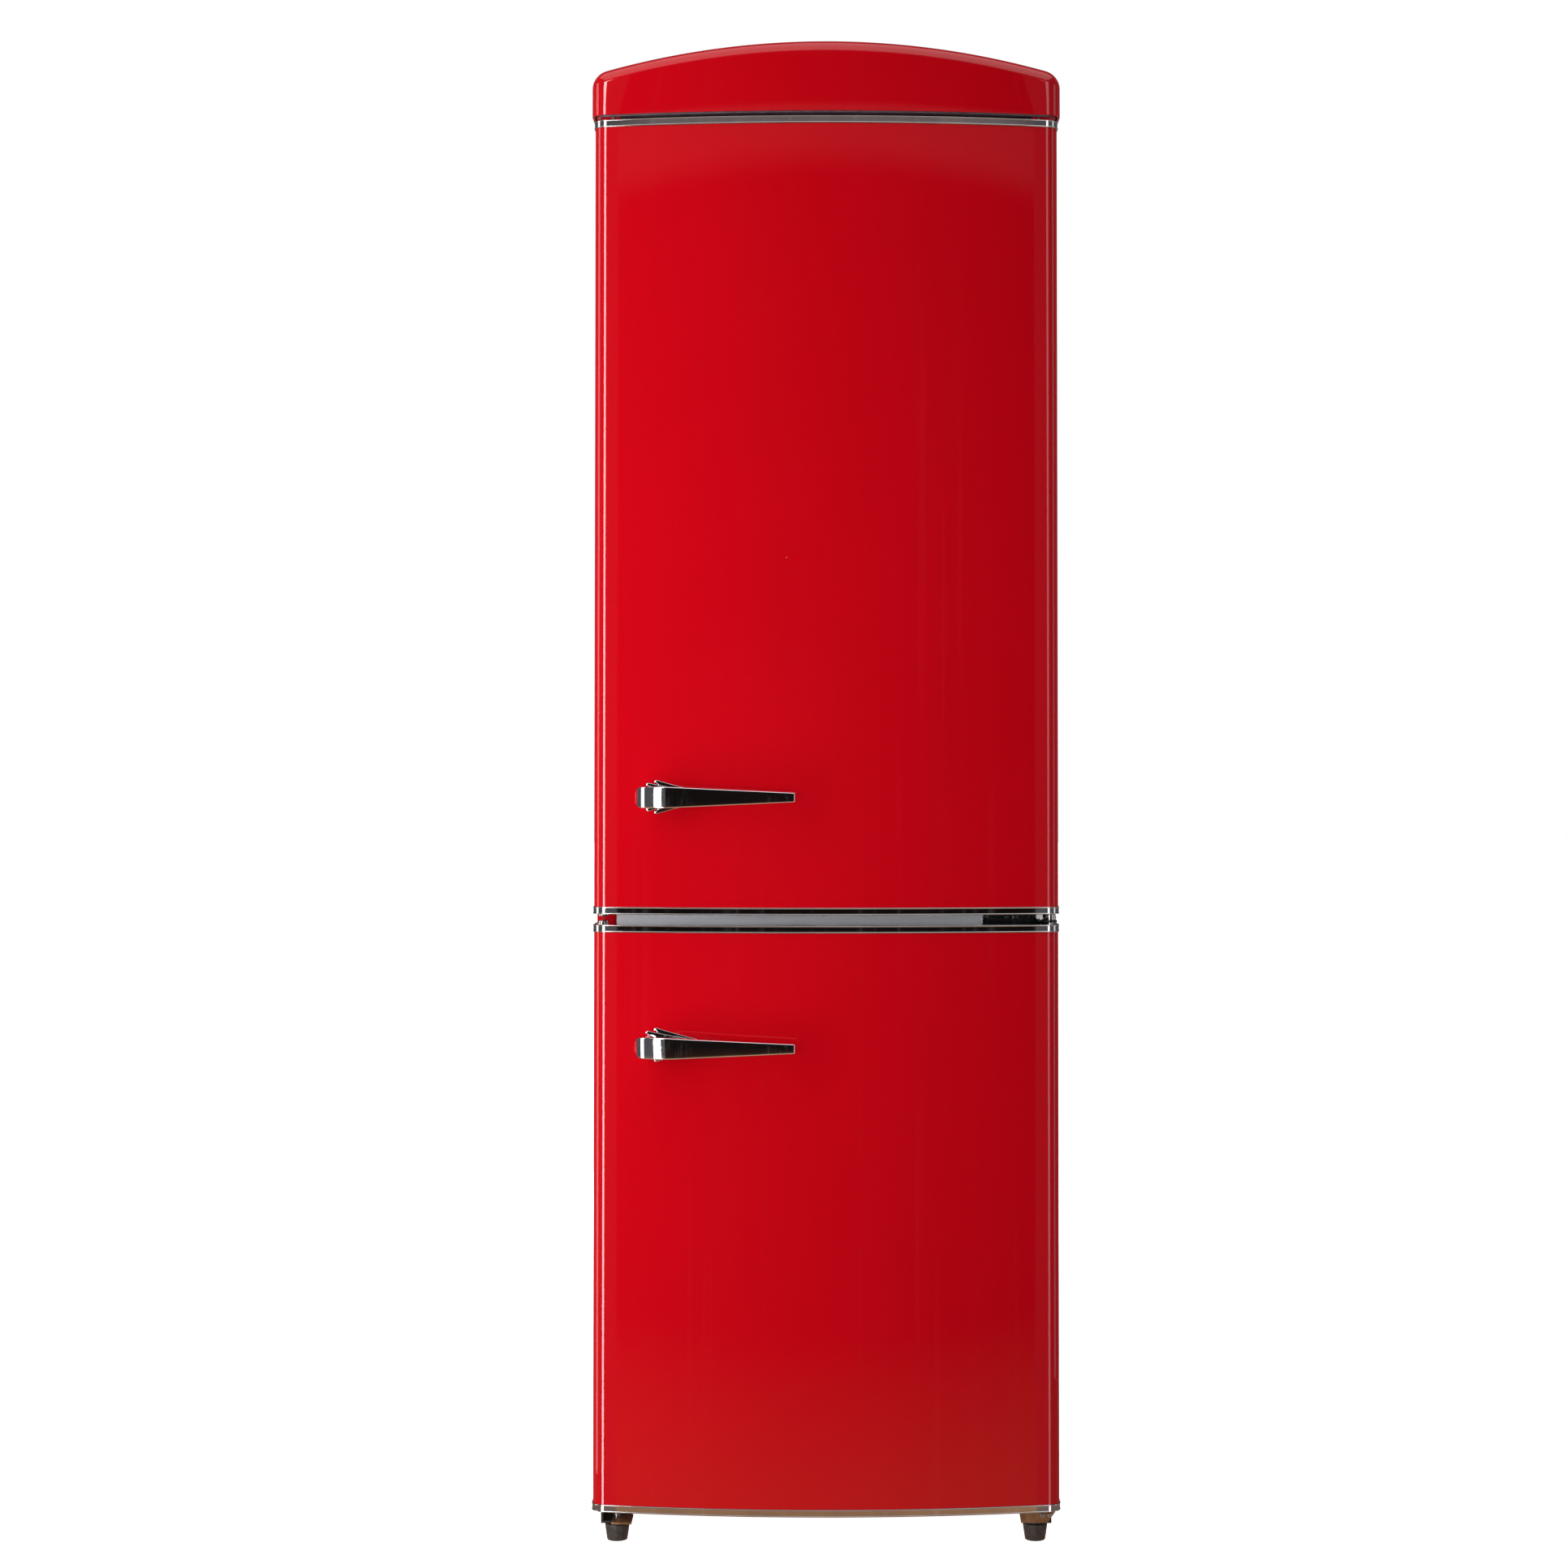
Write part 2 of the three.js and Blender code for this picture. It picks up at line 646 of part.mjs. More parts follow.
// Plate on the rail between the doors, an arm forward and a pin up and down.
function middleHinge() {
  const plateY = [-3, -gap];
  const plate = box([hingeX - 86, plateY[0], mullionZ - 5.7], [half, plateY[1], mullionZ + 5.7]);
  const armZ = [mullionZ - 5.4, mullionZ - 2.2];
  const arm = box([hingeX - 16, hingeY, armZ[0]], [hingeX + 6, plateY[0] + 1, armZ[1]]);
  const boss = bar("z", [hingeX, hingeY], 2 * pinRadius, ...armZ);
  const reach = trimHeight - 1.3;
  const pinZ = [doorBottom + lowerDoorHeight - reach, upperDoorBottom + reach];
  return plate.add(arm).add(boss).add(bar("z", [hingeX, hingeY], pinRadius, ...pinZ));
}

// Bracket under the cabinet: pin arm above, right foot's plate below.
function bottomHinge() {
  const top = cabinetBottom - gap;
  const back = 45;
  const inner = half - 45;
  const low = footHeight + gap;
  const reach = trimHeight - 1.3;
  return box([inner, -12, top - frameSheet], [half - 1, back, top])
    .add(box([hingeX - 20, hingeY, top - frameSheet], [half - 1, 0, top]))
    .add(bar("z", [hingeX, hingeY], 2 * pinRadius, top - frameSheet, top))
    .add(box([half - 7 - frameSheet, -12, low], [half - 7, back, top]))
    .add(box([inner, -12, low], [half - 7, back, low + frameSheet]))
    .subtract(bar("z", [footX, footSetback], 5 + boreClearance, 0, cabinetBottom - 5, 12))
    .add(bar("z", [hingeX, hingeY], pinRadius, top - 1, doorBottom + reach));
}

// Balcony hung inside the upper door's dam.
function balcony(tall) {
  const reach = cavityHalf - damClearance - damWidth - 2;
  const backY = doorBackY + gap;
  return tray([-reach, backY, 0], [reach, backY + balconyDepth - gap, tall], sheetPlastic);
}

// Hermetic compressor: domed pot on a foot plate.
const potRadius = 70;
const potZ = cabinetBottom + 4;
function compressorPot() {
  const profile = [
    [0, 0],
    [46, 0],
    [62, 12],
    [potRadius, 34],
    [potRadius, 88],
    [potRadius + 3, 90],
    [potRadius + 3, 94],
    [potRadius, 96],
    [potRadius - 2, 122],
    [52, 142],
    [30, 152],
    [0, 155],
  ];
  const plate = box([-95, -55, -3.7], [95, 55, 1]);
  return turned(profile, 24).add(plate);
}

// Condenser: bent tube in passes, two straps and four stand-offs.
function condenserCoil() {
  const y = coilRear - tubeRadius;
  const low = coilLow;
  const high = cabinetTop - 160;
  const pitch = (high - low) / (coilPasses - 1);
  const bendRadius = pitch / 2;
  const reach = half - 60 - bendRadius;
  const section = arc([0, 0], tubeRadius, 0, 2 * Math.PI, 6).slice(0, -1);
  const shape = new THREE.Shape(section.map(([a, b]) => new THREE.Vector2(a, b)));
  let coil = null;
  const join = (piece) => {
    coil = coil ? coil.add(piece) : piece;
  };
  for (let i = 0; i < coilPasses; i++) {
    const z = low + i * pitch;
    join(bar("x", [y, z], tubeRadius, -reach - 0.5, reach + 0.5, 6));
    if (i + 1 === coilPasses) continue;
    const side = i % 2 ? -1 : 1;
    const points = arc([side * reach, z + bendRadius], bendRadius, -Math.PI / 2, Math.PI / 2, 12);
    const bend = points.map(([x, pz]) => new THREE.Vector3(side < 0 ? -2 * reach - x : x, y, pz));
    const path = new THREE.CatmullRomCurve3(bend);
    join(solid(new THREE.ExtrudeGeometry(shape, { steps: 8, bevelEnabled: false, extrudePath: path })));
  }
  for (const x of [-0.7 * reach, 0.7 * reach]) {
    join(box([x - 5, y - tubeRadius - 1, low - 15], [x + 5, y - 1, high + 15]));
    for (const z of [low - 8, high + 8]) {
      join(box([x - 5, cabinetDepth + gap, z - 6], [x + 5, y - 2, z + 6]));
    }
  }
  return coil;
}

// The cabinet and everything fixed in it
const fridge = new THREE.Group();
fridge.position.y = -depth / 2 - leverY;
add(fridge, "cabinet_shell", cabinetShell(), "redLacquer");
add(fridge, "cabinet_insulation", cabinetInsulation(), "foam");
add(fridge, "fridge_liner", fridgeLiner(), "whiteLiner");
add(fridge, "freezer_liner", freezerLiner(), "whiteLiner");
add(fridge, "mullion_rail", mullionRail(), "greySteel");
add(fridge, "back_panel", backPanel(), "zincSteel");
add(fridge, "niche_panel", nichePanel(), "zincSteel");
add(fridge, "top_cap", topCap(), "redLacquer");
add(fridge, "base_frame", baseFrame(), "blackSteel");
add(fridge, "top_hinge", topHinge(), "zincSteel");
add(fridge, "middle_hinge", middleHinge(), "blackSteel");
add(fridge, "bottom_hinge", bottomHinge(), "blackSteel");
for (const [side, x] of [["left", -footX], ["right", footX]]) {
  add(fridge, `foot_${side}`, footSolid(), "blackPlastic", [x, footSetback, 0]);
  const rollerX = half - 7 - frameSheet - rollerWidth / 2;
  const place = [Math.sign(x) * rollerX, cabinetDepth - 40, rollerRadius];
  add(fridge, `roller_${side}`, rearRoller(), "blackPlastic", place);
}

// Cooling set in the niche and on the back
const potX = -60;
const potY = (nicheFront + cabinetDepth) / 2;
add(fridge, "compressor", compressorPot(), "blackSteel", [potX, potY, potZ]);
const trayZ = potZ + 155 + 3;
const trayLow = [potX - 75, potY - 68, trayZ];
const trayHigh = [potX + 75, potY + 68, nicheTop - 12];
add(fridge, "evaporation_tray", tray(trayLow, trayHigh, sheetPlastic), "blackPlastic");
const terminalX = potX + potRadius + 3 + gap;
const terminal = box([terminalX, potY - 28, potZ + 30], [terminalX + 38, potY + 28, potZ + 100])
  .add(bar("y", [terminalX + 19, potZ + 50], 8, potY + 27, potY + 44, 12))
  .subtract(bar("y", [terminalX + 19, potZ + 50], 4, potY + 30, potY + 45, 12));
add(fridge, "terminal_cover", terminal, "blackPlastic");
add(fridge, "condenser_coil", condenserCoil(), "blackSteel");
const pipeX = potX - potRadius - 50;
const pipeY = coilRear - tubeRadius;
const pipeZ = potZ + 60;
const pipeRoute = [
  [potX - potRadius - 1, potY, pipeZ],
  [pipeX, potY, pipeZ],
  [pipeX, pipeY, pipeZ],
  [pipeX, pipeY, coilLow - tubeRadius - gap],
];
add(fridge, "discharge_pipe", tube(pipeRoute, tubeRadius, 22, 30), "copper");

// Fridge fittings
const shelfReach = cavityHalf - 1.5;
const shelfBack = cavityBack - 4;
const shelf = box([-shelfReach, shelfRecess, 0], [shelfReach, shelfBack, shelfThickness]);
shelfZ.forEach((z, i) => add(fridge, `glass_shelf_${i + 1}`, shelf, "glass", [0, 0, z]));
add(fridge, "crisper_cover", shelf, "glass", [0, 0, crisperCoverZ]);
const crisperWidth = cavityHalf - drawerMargin + 2;
const crisper = tray([0, shelfRecess + 3, 0], [crisperWidth, cavityBack - 15, crisperHeight], sheetPlastic);
const crisperZ = fridgeFloor + gap;
add(fridge, "crisper_left", crisper, "clearPlastic", [-2 - crisperWidth, 0, crisperZ]);
add(fridge, "crisper_right", crisper, "clearPlastic", [2, 0, crisperZ]);
const housingFront = shelfRecess + 5;
const housingReach = 110;
const noseReach = [140, 172]; // nose that carries the light switch, near the door's dam
const noseLow = fridgeCeiling - 34;
const noseFront = fridgeDamDepth + 8;
const housingTop = fridgeCeiling - gap;
const housingBack = housingFront + 185;
const housing = box([-housingReach, housingFront, housingLow], [housingReach, housingBack, housingTop])
  .add(box([noseReach[0], noseFront, noseLow], [noseReach[1], housingFront + 5, housingTop]))
  .add(box([housingReach - 10, housingFront, noseLow], [noseReach[1], housingFront + 35, housingTop]));
const switchAt = [156, fridgeCeiling - 24];
const knobAt = [-70, fridgeCeiling - 25];
const knobStemRadius = 3;
const plungerRadius = 4;
const knobBore = bar("y", knobAt, knobStemRadius + boreClearance, 0, housingFront + 15);
const switchBore = bar("y", switchAt, plungerRadius + boreClearance, 0, 60);
add(fridge, "control_housing", housing.subtract(knobBore).subtract(switchBore), "whitePlastic");
const knobFace = housingFront - gap;
const knobRadius = 19;
const grip = [2.5, 18]; // half width and half height of the bar across the knob
const gripLow = [knobAt[0] - grip[0], knobFace - 20, knobAt[1] - grip[1]];
const gripHigh = [knobAt[0] + grip[0], knobFace - 13, knobAt[1] + grip[1]];
const knob = bar("y", knobAt, knobRadius, knobFace - 14, knobFace, 24)
  .add(bar("y", knobAt, knobStemRadius, knobFace - 1, knobFace + 14))
  .add(box(gripLow, gripHigh));
add(fridge, "thermostat_knob", knob, "whitePlastic");
const plunger = bar("y", switchAt, plungerRadius, fridgeDamDepth + gap, 52);
add(fridge, "light_switch", plunger, "whitePlastic");
const lensFront = housingFront + 20;
const lens = box([-60, lensFront, housingLow - 12], [60, lensFront + 150, housingLow - gap]);
add(fridge, "lamp_lens", lens, "clearPlastic");

// Freezer fittings: two shelves and a drawer in each of the three bays
const bayFloor = [freezerFloor, stepZ + 3, (stepZ + freezerCeiling) / 2 + 3];
bayFloor.slice(1).forEach((z, i) => {
  const plate = box([-shelfReach, drawerRecess + 5, 0], [shelfReach, shelfBack, shelfThickness]);
  add(fridge, `freezer_shelf_${i + 1}`, plate, "glass", [0, 0, z]);
});
const drawerReach = cavityHalf - drawerMargin;
const bays = [
  ["bottom", bayFloor[0] + gap, bayFloor[1] - drawerAir, stepY - 8],
  ["middle", bayFloor[1] + shelfThickness + gap, bayFloor[2] - drawerAir, shelfBack - 6],
  ["top", bayFloor[2] + shelfThickness + gap, freezerCeiling - drawerAir, shelfBack - 6],
];
for (const [bay, low, high, back] of bays) {
  const drawer = tray([-drawerReach, drawerRecess, low], [drawerReach, back, high], sheetPlastic);
  add(fridge, `freezer_drawer_${bay}`, drawer, "clearPlastic");
}

// Upper door with its balconies and stop
const upperDoor = makeDoor(
  "upper_door",
  "upper_handle",
  upperDoorBottom,
  upperDoorHeight,
  [fridgeFloor, fridgeCeiling],
  fridgeDamDepth,
  upperHandleHeight,
);
const damFloor = fridgeFloor + damClearance + damWidth - upperDoorBottom;
const damSpace = fridgeCeiling - fridgeFloor - 2 * (damClearance + damWidth);
balconyHeights.forEach((tall, i) => {
  const z = damFloor + 2 + (i * damSpace) / balconyHeights.length;
  add(upperDoor, `balcony_${i + 1}`, balcony(tall), "clearPlastic", [0, 0, z]);
});
const stop = box([hingeX - 19, hingeY - 9, -7.5], [hingeX - 11, hingeY + 9, -gap]);
add(upperDoor, "door_stop", stop, "whitePlastic");
fridge.add(upperDoor);

const lowerDoor = makeDoor(
  "lower_door",
  "lower_handle",
  doorBottom,
  lowerDoorHeight,
  [freezerFloor, freezerCeiling],
  freezerDamDepth,
  lowerDoorHeight - lowerHandleDrop,
);
fridge.add(lowerDoor);

export default fridge;
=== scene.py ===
import math

import bmesh
import bpy
from mathutils import Matrix, Vector


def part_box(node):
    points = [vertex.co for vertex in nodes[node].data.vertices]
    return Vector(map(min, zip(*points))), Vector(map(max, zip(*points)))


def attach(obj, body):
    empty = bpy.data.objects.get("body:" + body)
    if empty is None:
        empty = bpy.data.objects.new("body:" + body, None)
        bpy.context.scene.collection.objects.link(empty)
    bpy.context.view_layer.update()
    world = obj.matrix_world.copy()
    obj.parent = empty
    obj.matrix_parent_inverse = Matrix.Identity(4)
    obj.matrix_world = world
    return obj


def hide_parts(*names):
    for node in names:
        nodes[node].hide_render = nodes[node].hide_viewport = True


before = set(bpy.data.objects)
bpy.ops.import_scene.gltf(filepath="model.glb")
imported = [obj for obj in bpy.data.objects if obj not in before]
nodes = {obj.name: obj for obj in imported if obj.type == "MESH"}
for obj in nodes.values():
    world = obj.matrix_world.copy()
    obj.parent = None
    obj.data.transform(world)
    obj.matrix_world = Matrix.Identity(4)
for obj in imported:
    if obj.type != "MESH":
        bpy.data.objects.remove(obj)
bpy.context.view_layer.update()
mm = 0.001


# --- Camera -------------------------------------------------------------------------------------
# A lens of about 65 mm at chest height, 3.6 m in front of the doors. It looks up a little and its
# frame is shifted down, so that the tall upright edges stay nearly parallel.
crest_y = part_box("upper_door_skin")[0].y
bpy.ops.object.camera_add(location=(0, crest_y - 3.6, 1.009), rotation=(math.radians(91.4286), 0, 0))
camera = bpy.context.object
camera.data.lens = 65.224
camera.data.sensor_width = 36
camera.data.shift_x = -0.0269
camera.data.shift_y = -0.062
camera.data.clip_end = 200
bpy.context.scene.camera = camera
bpy.context.scene.view_settings.view_transform = "Standard"


# --- Floor and light ----------------------------------------------------------------------------
# A plain pale floor in a white room. Gloss sees tall softboxes at both sides, one overhead and a
# dark card far in front, as a studio's unlit side. Matt light comes from the left and from fills.
def linear(code):
    """An sRGB hex colour as linear RGBA."""
    parts = [int(code[i : i + 2], 16) / 255 for i in (1, 3, 5)]
    return [*(c / 12.92 if c <= 0.04045 else ((c + 0.055) / 1.055) ** 2.4 for c in parts), 1.0]


def add_node(tree, kind, inputs=None, **settings):
    """A node with its settings, its sockets set to values or linked to other nodes' outputs."""
    made = tree.nodes.new(kind)
    for name, value in settings.items():
        setattr(made, name, value)
    for socket, value in (inputs or {}).items():
        if isinstance(value, bpy.types.NodeSocket):
            tree.links.new(value, made.inputs[socket])
        else:
            made.inputs[socket].default_value = value
    return made


def start_material(name, colour, roughness, **sockets):
    """A material with one Principled shader: its tree and shader, to be given their pattern."""
    material = bpy.data.materials.new(name)
    material.use_nodes = True
    tree = material.node_tree
    shader = tree.nodes["Principled BSDF"]
    shader.inputs["Base Color"].default_value = linear(colour)
    shader.inputs["Roughness"].default_value = roughness
    for socket, value in sockets.items():
        shader.inputs[socket.replace("_", " ")].default_value = value
    return material, tree, shader


def pattern(tree, size_mm, detail=3.0, stretch=(1, 1, 1)):
    """Noise on object coordinates, with features of about size_mm, drawn out along an axis."""
    place = add_node(tree, "ShaderNodeTexCoord").outputs["Object"]
    mapped = add_node(tree, "ShaderNodeMapping", {"Vector": place, "Scale": stretch})
    inputs = {"Vector": mapped.outputs[0], "Scale": 1000 / size_mm, "Detail": detail}
    return add_node(tree, "ShaderNodeTexNoise", inputs).outputs["Fac"]


def shade(tree, shader, noise, colour, other, low=0.35, high=0.65):
    """Base colour between two colours, as the noise goes from low to high."""
    ramp = add_node(tree, "ShaderNodeValToRGB", {"Fac": noise})
    ramp.color_ramp.elements[0].position = low
    ramp.color_ramp.elements[0].color = linear(colour)
    ramp.color_ramp.elements[1].position = high
    ramp.color_ramp.elements[1].color = linear(other)
    tree.links.new(ramp.outputs["Color"], shader.inputs["Base Color"])


def rough(tree, shader, noise, low, high):
    """Roughness between two values, following the noise."""
    inputs = {"Value": noise, "From Min": 0.3, "From Max": 0.7, "To Min": low, "To Max": high}
    ranged = add_node(tree, "ShaderNodeMapRange", inputs)
    tree.links.new(ranged.outputs["Result"], shader.inputs["Roughness"])


def bump(tree, shader, noise, depth_mm, strength=1.0):
    """Surface relief of a real depth, following the noise."""
    inputs = {"Height": noise, "Distance": depth_mm * mm, "Strength": strength}
    made = add_node(tree, "ShaderNodeBump", inputs)
    tree.links.new(made.outputs["Normal"], shader.inputs["Normal"])


# The paper glows a little, so that it stays as white as the room behind it.
bpy.ops.mesh.primitive_plane_add(size=60, location=(0, 0, 0))
floor = bpy.context.object
floor.name = "studio_floor"
paper, tree, shader = start_material(
    "matt_white_paper", "#f4f3f1", 0.9, Emission_Color=(1, 1, 1, 1), Emission_Strength=1.0
)
shade(tree, shader, pattern(tree, 400), "#f1f0ee", "#f6f5f3")
floor.data.materials.append(paper)
floor.visible_diffuse = False
floor.visible_glossy = False
floor.visible_shadow = False

world = bpy.data.worlds.new("white_studio")
bpy.context.scene.world = world
world.use_nodes = True
sky = world.node_tree
sky.nodes.clear()
# The camera sees white, matt surfaces a dim grey, and mirrors a tan floor under a grey room.
path = add_node(sky, "ShaderNodeLightPath").outputs
direction = add_node(sky, "ShaderNodeTexCoord").outputs["Generated"]
upward = add_node(sky, "ShaderNodeSeparateXYZ", {"Vector": direction}).outputs["Z"]
share = add_node(sky, "ShaderNodeMapRange", {"Value": upward, "From Min": -1.0, "From Max": 1.0})
room = add_node(sky, "ShaderNodeValToRGB", {"Fac": share.outputs[0]})
room.color_ramp.elements[0].position = 0.3
room.color_ramp.elements[0].color = linear("#c29d80")
room.color_ramp.elements[1].position = 0.4
room.color_ramp.elements[1].color = linear("#5a5a5d")
matt = add_node(sky, "ShaderNodeMix", {"Factor": path["Is Diffuse Ray"]}, data_type="RGBA")
sky.links.new(room.outputs["Color"], matt.inputs[6])
matt.inputs[7].default_value = (0.1, 0.1, 0.1, 1)
white = add_node(sky, "ShaderNodeMix", {"Factor": path["Is Camera Ray"]}, data_type="RGBA")
sky.links.new(matt.outputs[2], white.inputs[6])
white.inputs[7].default_value = (1, 1, 1, 1)
light = add_node(sky, "ShaderNodeBackground", {"Color": white.outputs[2]})
add_node(sky, "ShaderNodeOutputWorld", {"Surface": light.outputs[0]})


def softbox(name, x, azimuth, distance, size, height, radiance, seen_by):
    """An area light that faces a point of the doors' front: azimuth 0 is straight in front of it and
    positive to the right, in degrees. It lights either gloss or matt surfaces, set apart."""
    angle = math.radians(azimuth)
    place = Vector((x + distance * math.sin(angle), crest_y - distance * math.cos(angle), height))
    bpy.ops.object.light_add(type="AREA", location=place)
    made = bpy.context.object
    made.name = name
    made.data.shape = "RECTANGLE"
    made.data.size, made.data.size_y = size
    made.data.energy = radiance * math.pi * size[0] * size[1]
    made.visible_diffuse = seen_by != "gloss"
    made.visible_glossy = seen_by != "matt"
    made.rotation_mode = "QUATERNION"
    made.rotation_quaternion = (place - Vector((x, crest_y, height))).to_track_quat("Z", "Y")
    return made


softbox("streak_left", -0.284, -30.2, 2.6, (0.3, 3.8), 1.05, 13, "gloss")
softbox("streak_right", 0.284, 30.2, 2.6, (0.3, 3.8), 1.05, 2.2, "gloss").data.color = (0.93, 0.9, 1.0)
softbox("strip_left", -0.29, -84, 2.4, (0.9, 3.4), 1.2, 2.4, "gloss")
softbox("strip_right", 0.29, 80, 2.4, (0.7, 3.0), 1.2, 0.9, "gloss")
softbox("key_left", 0, -50, 1.3, (0.6, 2.6), 1.1, 4.6, "matt")
softbox("front_fill", 0, -8, 3.3, (1.5, 0.9), 0.85, 8.2, "matt")
softbox("right_fill", 0, 112, 2.6, (1.2, 2.2), 1.2, 4, "matt")
softbox("rear_fill", 0, 196, 3.4, (1.8, 2.2), 1.2, 5.5, "matt")
softbox("left_rear_fill", 0, -118, 2.8, (1.0, 2.2), 1.2, 3, "matt")
CEILING = (3.4, 2.6)
bpy.ops.object.light_add(type="AREA", location=(0, -1.1, 3.4))
ceiling = bpy.context.object
ceiling.name = "ceiling_softbox"
ceiling.data.shape = "RECTANGLE"
ceiling.data.size, ceiling.data.size_y = CEILING
ceiling.data.energy = 1.3 * math.pi * CEILING[0] * CEILING[1]
ceiling.visible_diffuse = False
bpy.ops.object.light_add(type="SUN", location=(0, 0, 4))
overhead = bpy.context.object
overhead.name = "overhead_sun"
overhead.data.energy = 2.3
overhead.data.angle = math.radians(60)
overhead.visible_glossy = False

# The card is black, but glows where mirrors need light: a warm painted glow at its foot stands in for the
# floor, and a pale painted band near its head for the ceiling's edge. Faint painted uprights between them
# stand in for the studio's stands, which a mirror-bright lever shows as columns.
bpy.ops.mesh.primitive_plane_add(size=1, location=(0, -5.2, 1.2), rotation=(math.pi / 2, 0, 0))
card = bpy.context.object
card.name = "dark_card"
bpy.ops.transform.resize(value=(4.9, 1, 6.4))
bpy.ops.object.transform_apply(location=True, rotation=True, scale=True)
# Black card with painted glow in its emission, seen only in mirrors.
glowing_card, tree, shader = start_material("black_card_painted_glow", "#050505", 0.95)
place = add_node(tree, "ShaderNodeTexCoord").outputs["Object"]
upright = add_node(tree, "ShaderNodeMapping", {"Vector": place, "Scale": (1, 1, 0.02)})
stands = add_node(tree, "ShaderNodeTexNoise", {"Vector": upright.outputs[0], "Scale": 22.0, "Detail": 2.0})
faint = add_node(
    tree,
    "ShaderNodeMapRange",
    {"Value": stands.outputs["Fac"], "From Min": 0.6, "From Max": 0.72, "To Max": 0.05},
)
level = add_node(tree, "ShaderNodeSeparateXYZ", {"Vector": place}).outputs["Z"]
share = add_node(tree, "ShaderNodeMapRange", {"Value": level, "From Min": -2.0, "From Max": 4.4})
# Painted glow by height: warm at the foot for the floor, a pale band near the head for the ceiling's edge.
glow = add_node(tree, "ShaderNodeValToRGB", {"Fac": share.outputs[0]})
stops = [
    (0.0, "#c39a78"),
    (0.12, "#a8805f"),
    (0.2, "#2a1811"),
    (0.36, "#0b0606"),
    (0.745, "#080606"),
    (0.76, "#7d7272"),
    (0.782, "#7d7272"),
    (0.792, "#0a0707"),
]
elements = glow.color_ramp.elements
elements[0].position, elements[0].color = stops[0][0], linear(stops[0][1])
elements[1].position, elements[1].color = stops[-1][0], linear(stops[-1][1])
for position, colour in stops[1:-1]:
    elements.new(position).color = linear(colour)
both = add_node(tree, "ShaderNodeMix", {"Factor": 1.0}, data_type="RGBA", blend_type="ADD")
tree.links.new(glow.outputs["Color"], both.inputs[6])
tree.links.new(faint.outputs["Result"], both.inputs[7])
tree.links.new(both.outputs[2], shader.inputs["Emission Color"])
shader.inputs["Emission Strength"].default_value = 1.0
card.data.materials.append(glowing_card)
card.visible_camera = False
card.visible_diffuse = False
card.visible_shadow = False


# --- Front feet ---------------------------------------------------------------------------------
# Two levelling feet: a twelve-sided black polypropylene cup that a hand can turn, under a collar,
# on a threaded steel stem that screws up into its bracket.
def deselect():
    """Leaves edit mode and selects nothing, as a new piece needs."""
    if bpy.context.object and bpy.context.object.mode != "OBJECT":
        bpy.ops.object.mode_set(mode="OBJECT")
    bpy.ops.object.select_all(action="DESELECT")


def settle():
    """Puts a new primitive's place, turn and size into its mesh."""
    bpy.ops.object.transform_apply(location=True, rotation=True, scale=True)
    return bpy.context.object


def block(low, high):
    """A box between two corners, as the start of a piece."""
    deselect()
    low, high = Vector(low), Vector(high)
    bpy.ops.mesh.primitive_cube_add(size=1, location=(low + high) / 2, scale=high - low)
    return settle()


TURNS = {"x": (0, math.pi / 2, 0), "y": (math.pi / 2, 0, 0), "z": (0, 0, 0)}


def rod(centre, radius, length, axis="z", sides=32):
    """A cylinder about a point, along an axis."""
    deselect()
    bpy.ops.mesh.primitive_cylinder_add(
        vertices=sides, radius=radius, depth=length, location=centre, rotation=TURNS[axis]
    )
    return settle()


def pick(test):
    """In edit mode, selects the faces whose centre and normal pass the test."""
    if bpy.context.object.mode != "EDIT":
        bpy.ops.object.mode_set(mode="EDIT")
    bpy.ops.mesh.select_mode(type="FACE")
    mesh = bmesh.from_edit_mesh(bpy.context.object.data)
    for face in mesh.faces:
        face.select_set(False)
    for face in mesh.faces:
        if test(face.calc_center_median(), face.normal):
            face.select_set(True)
    bmesh.update_edit_mesh(bpy.context.object.data)


def push(offset, scale=None):
    """Extrudes what is selected by an offset, and scales it about its own middle."""
    bpy.ops.mesh.extrude_region_move(TRANSFORM_OT_translate={"value": offset})
    if scale:
        mesh = bmesh.from_edit_mesh(bpy.context.object.data)
        places = [v.co.copy() for v in mesh.verts if v.select]
        middle = sum(places, Vector()) / len(places)
        bpy.ops.transform.resize(value=scale, center_override=middle)


def modify(piece, kind, **settings):
    """Adds a modifier and applies it."""
    deselect()
    piece.select_set(True)
    bpy.context.view_layer.objects.active = piece
    made = piece.modifiers.new(kind.title(), kind)
    for name, value in settings.items():
        setattr(made, name, value)
    bpy.ops.object.modifier_apply(modifier=made.name)
    return piece


def soften(piece, width_mm, segments=3, angle=35):
    """Rounds a piece's sharp edges."""
    return modify(
        piece,
        "BEVEL",
        width=width_mm * mm,
        segments=segments,
        limit_method="ANGLE",
        angle_limit=math.radians(angle),
        use_clamp_overlap=True,
    )


def join(*parts):
    """Makes one piece of several solids."""
    deselect()
    for part in parts:
        part.select_set(True)
    bpy.context.view_layer.objects.active = parts[0]
    bpy.ops.object.join()
    return parts[0]


def finish(piece, name, material, body, slot, *replaced, angle=35):
    """Names a finished piece, smooths it, and fits it to the frame."""
    deselect()
    piece.name = piece.data.name = name
    piece.select_set(True)
    bpy.context.view_layer.objects.active = piece
    bpy.ops.object.mode_set(mode="EDIT")
    bpy.ops.mesh.select_all(action="SELECT")
    bpy.ops.mesh.remove_doubles(threshold=1e-6)
    bpy.ops.mesh.normals_make_consistent(inside=False)
    bpy.ops.object.mode_set(mode="OBJECT")
    bpy.ops.object.shade_smooth_by_angle(angle=math.radians(angle))
    piece.data.materials.clear()
    piece.data.materials.append(material)
    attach(piece, body)
    if replaced:
        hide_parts(*replaced)
    return piece


def dress(material, *names):
    """Gives CAD nodes that stay in view their real finish."""
    for name in names:
        nodes[name].data.materials.clear()
        nodes[name].data.materials.append(material)
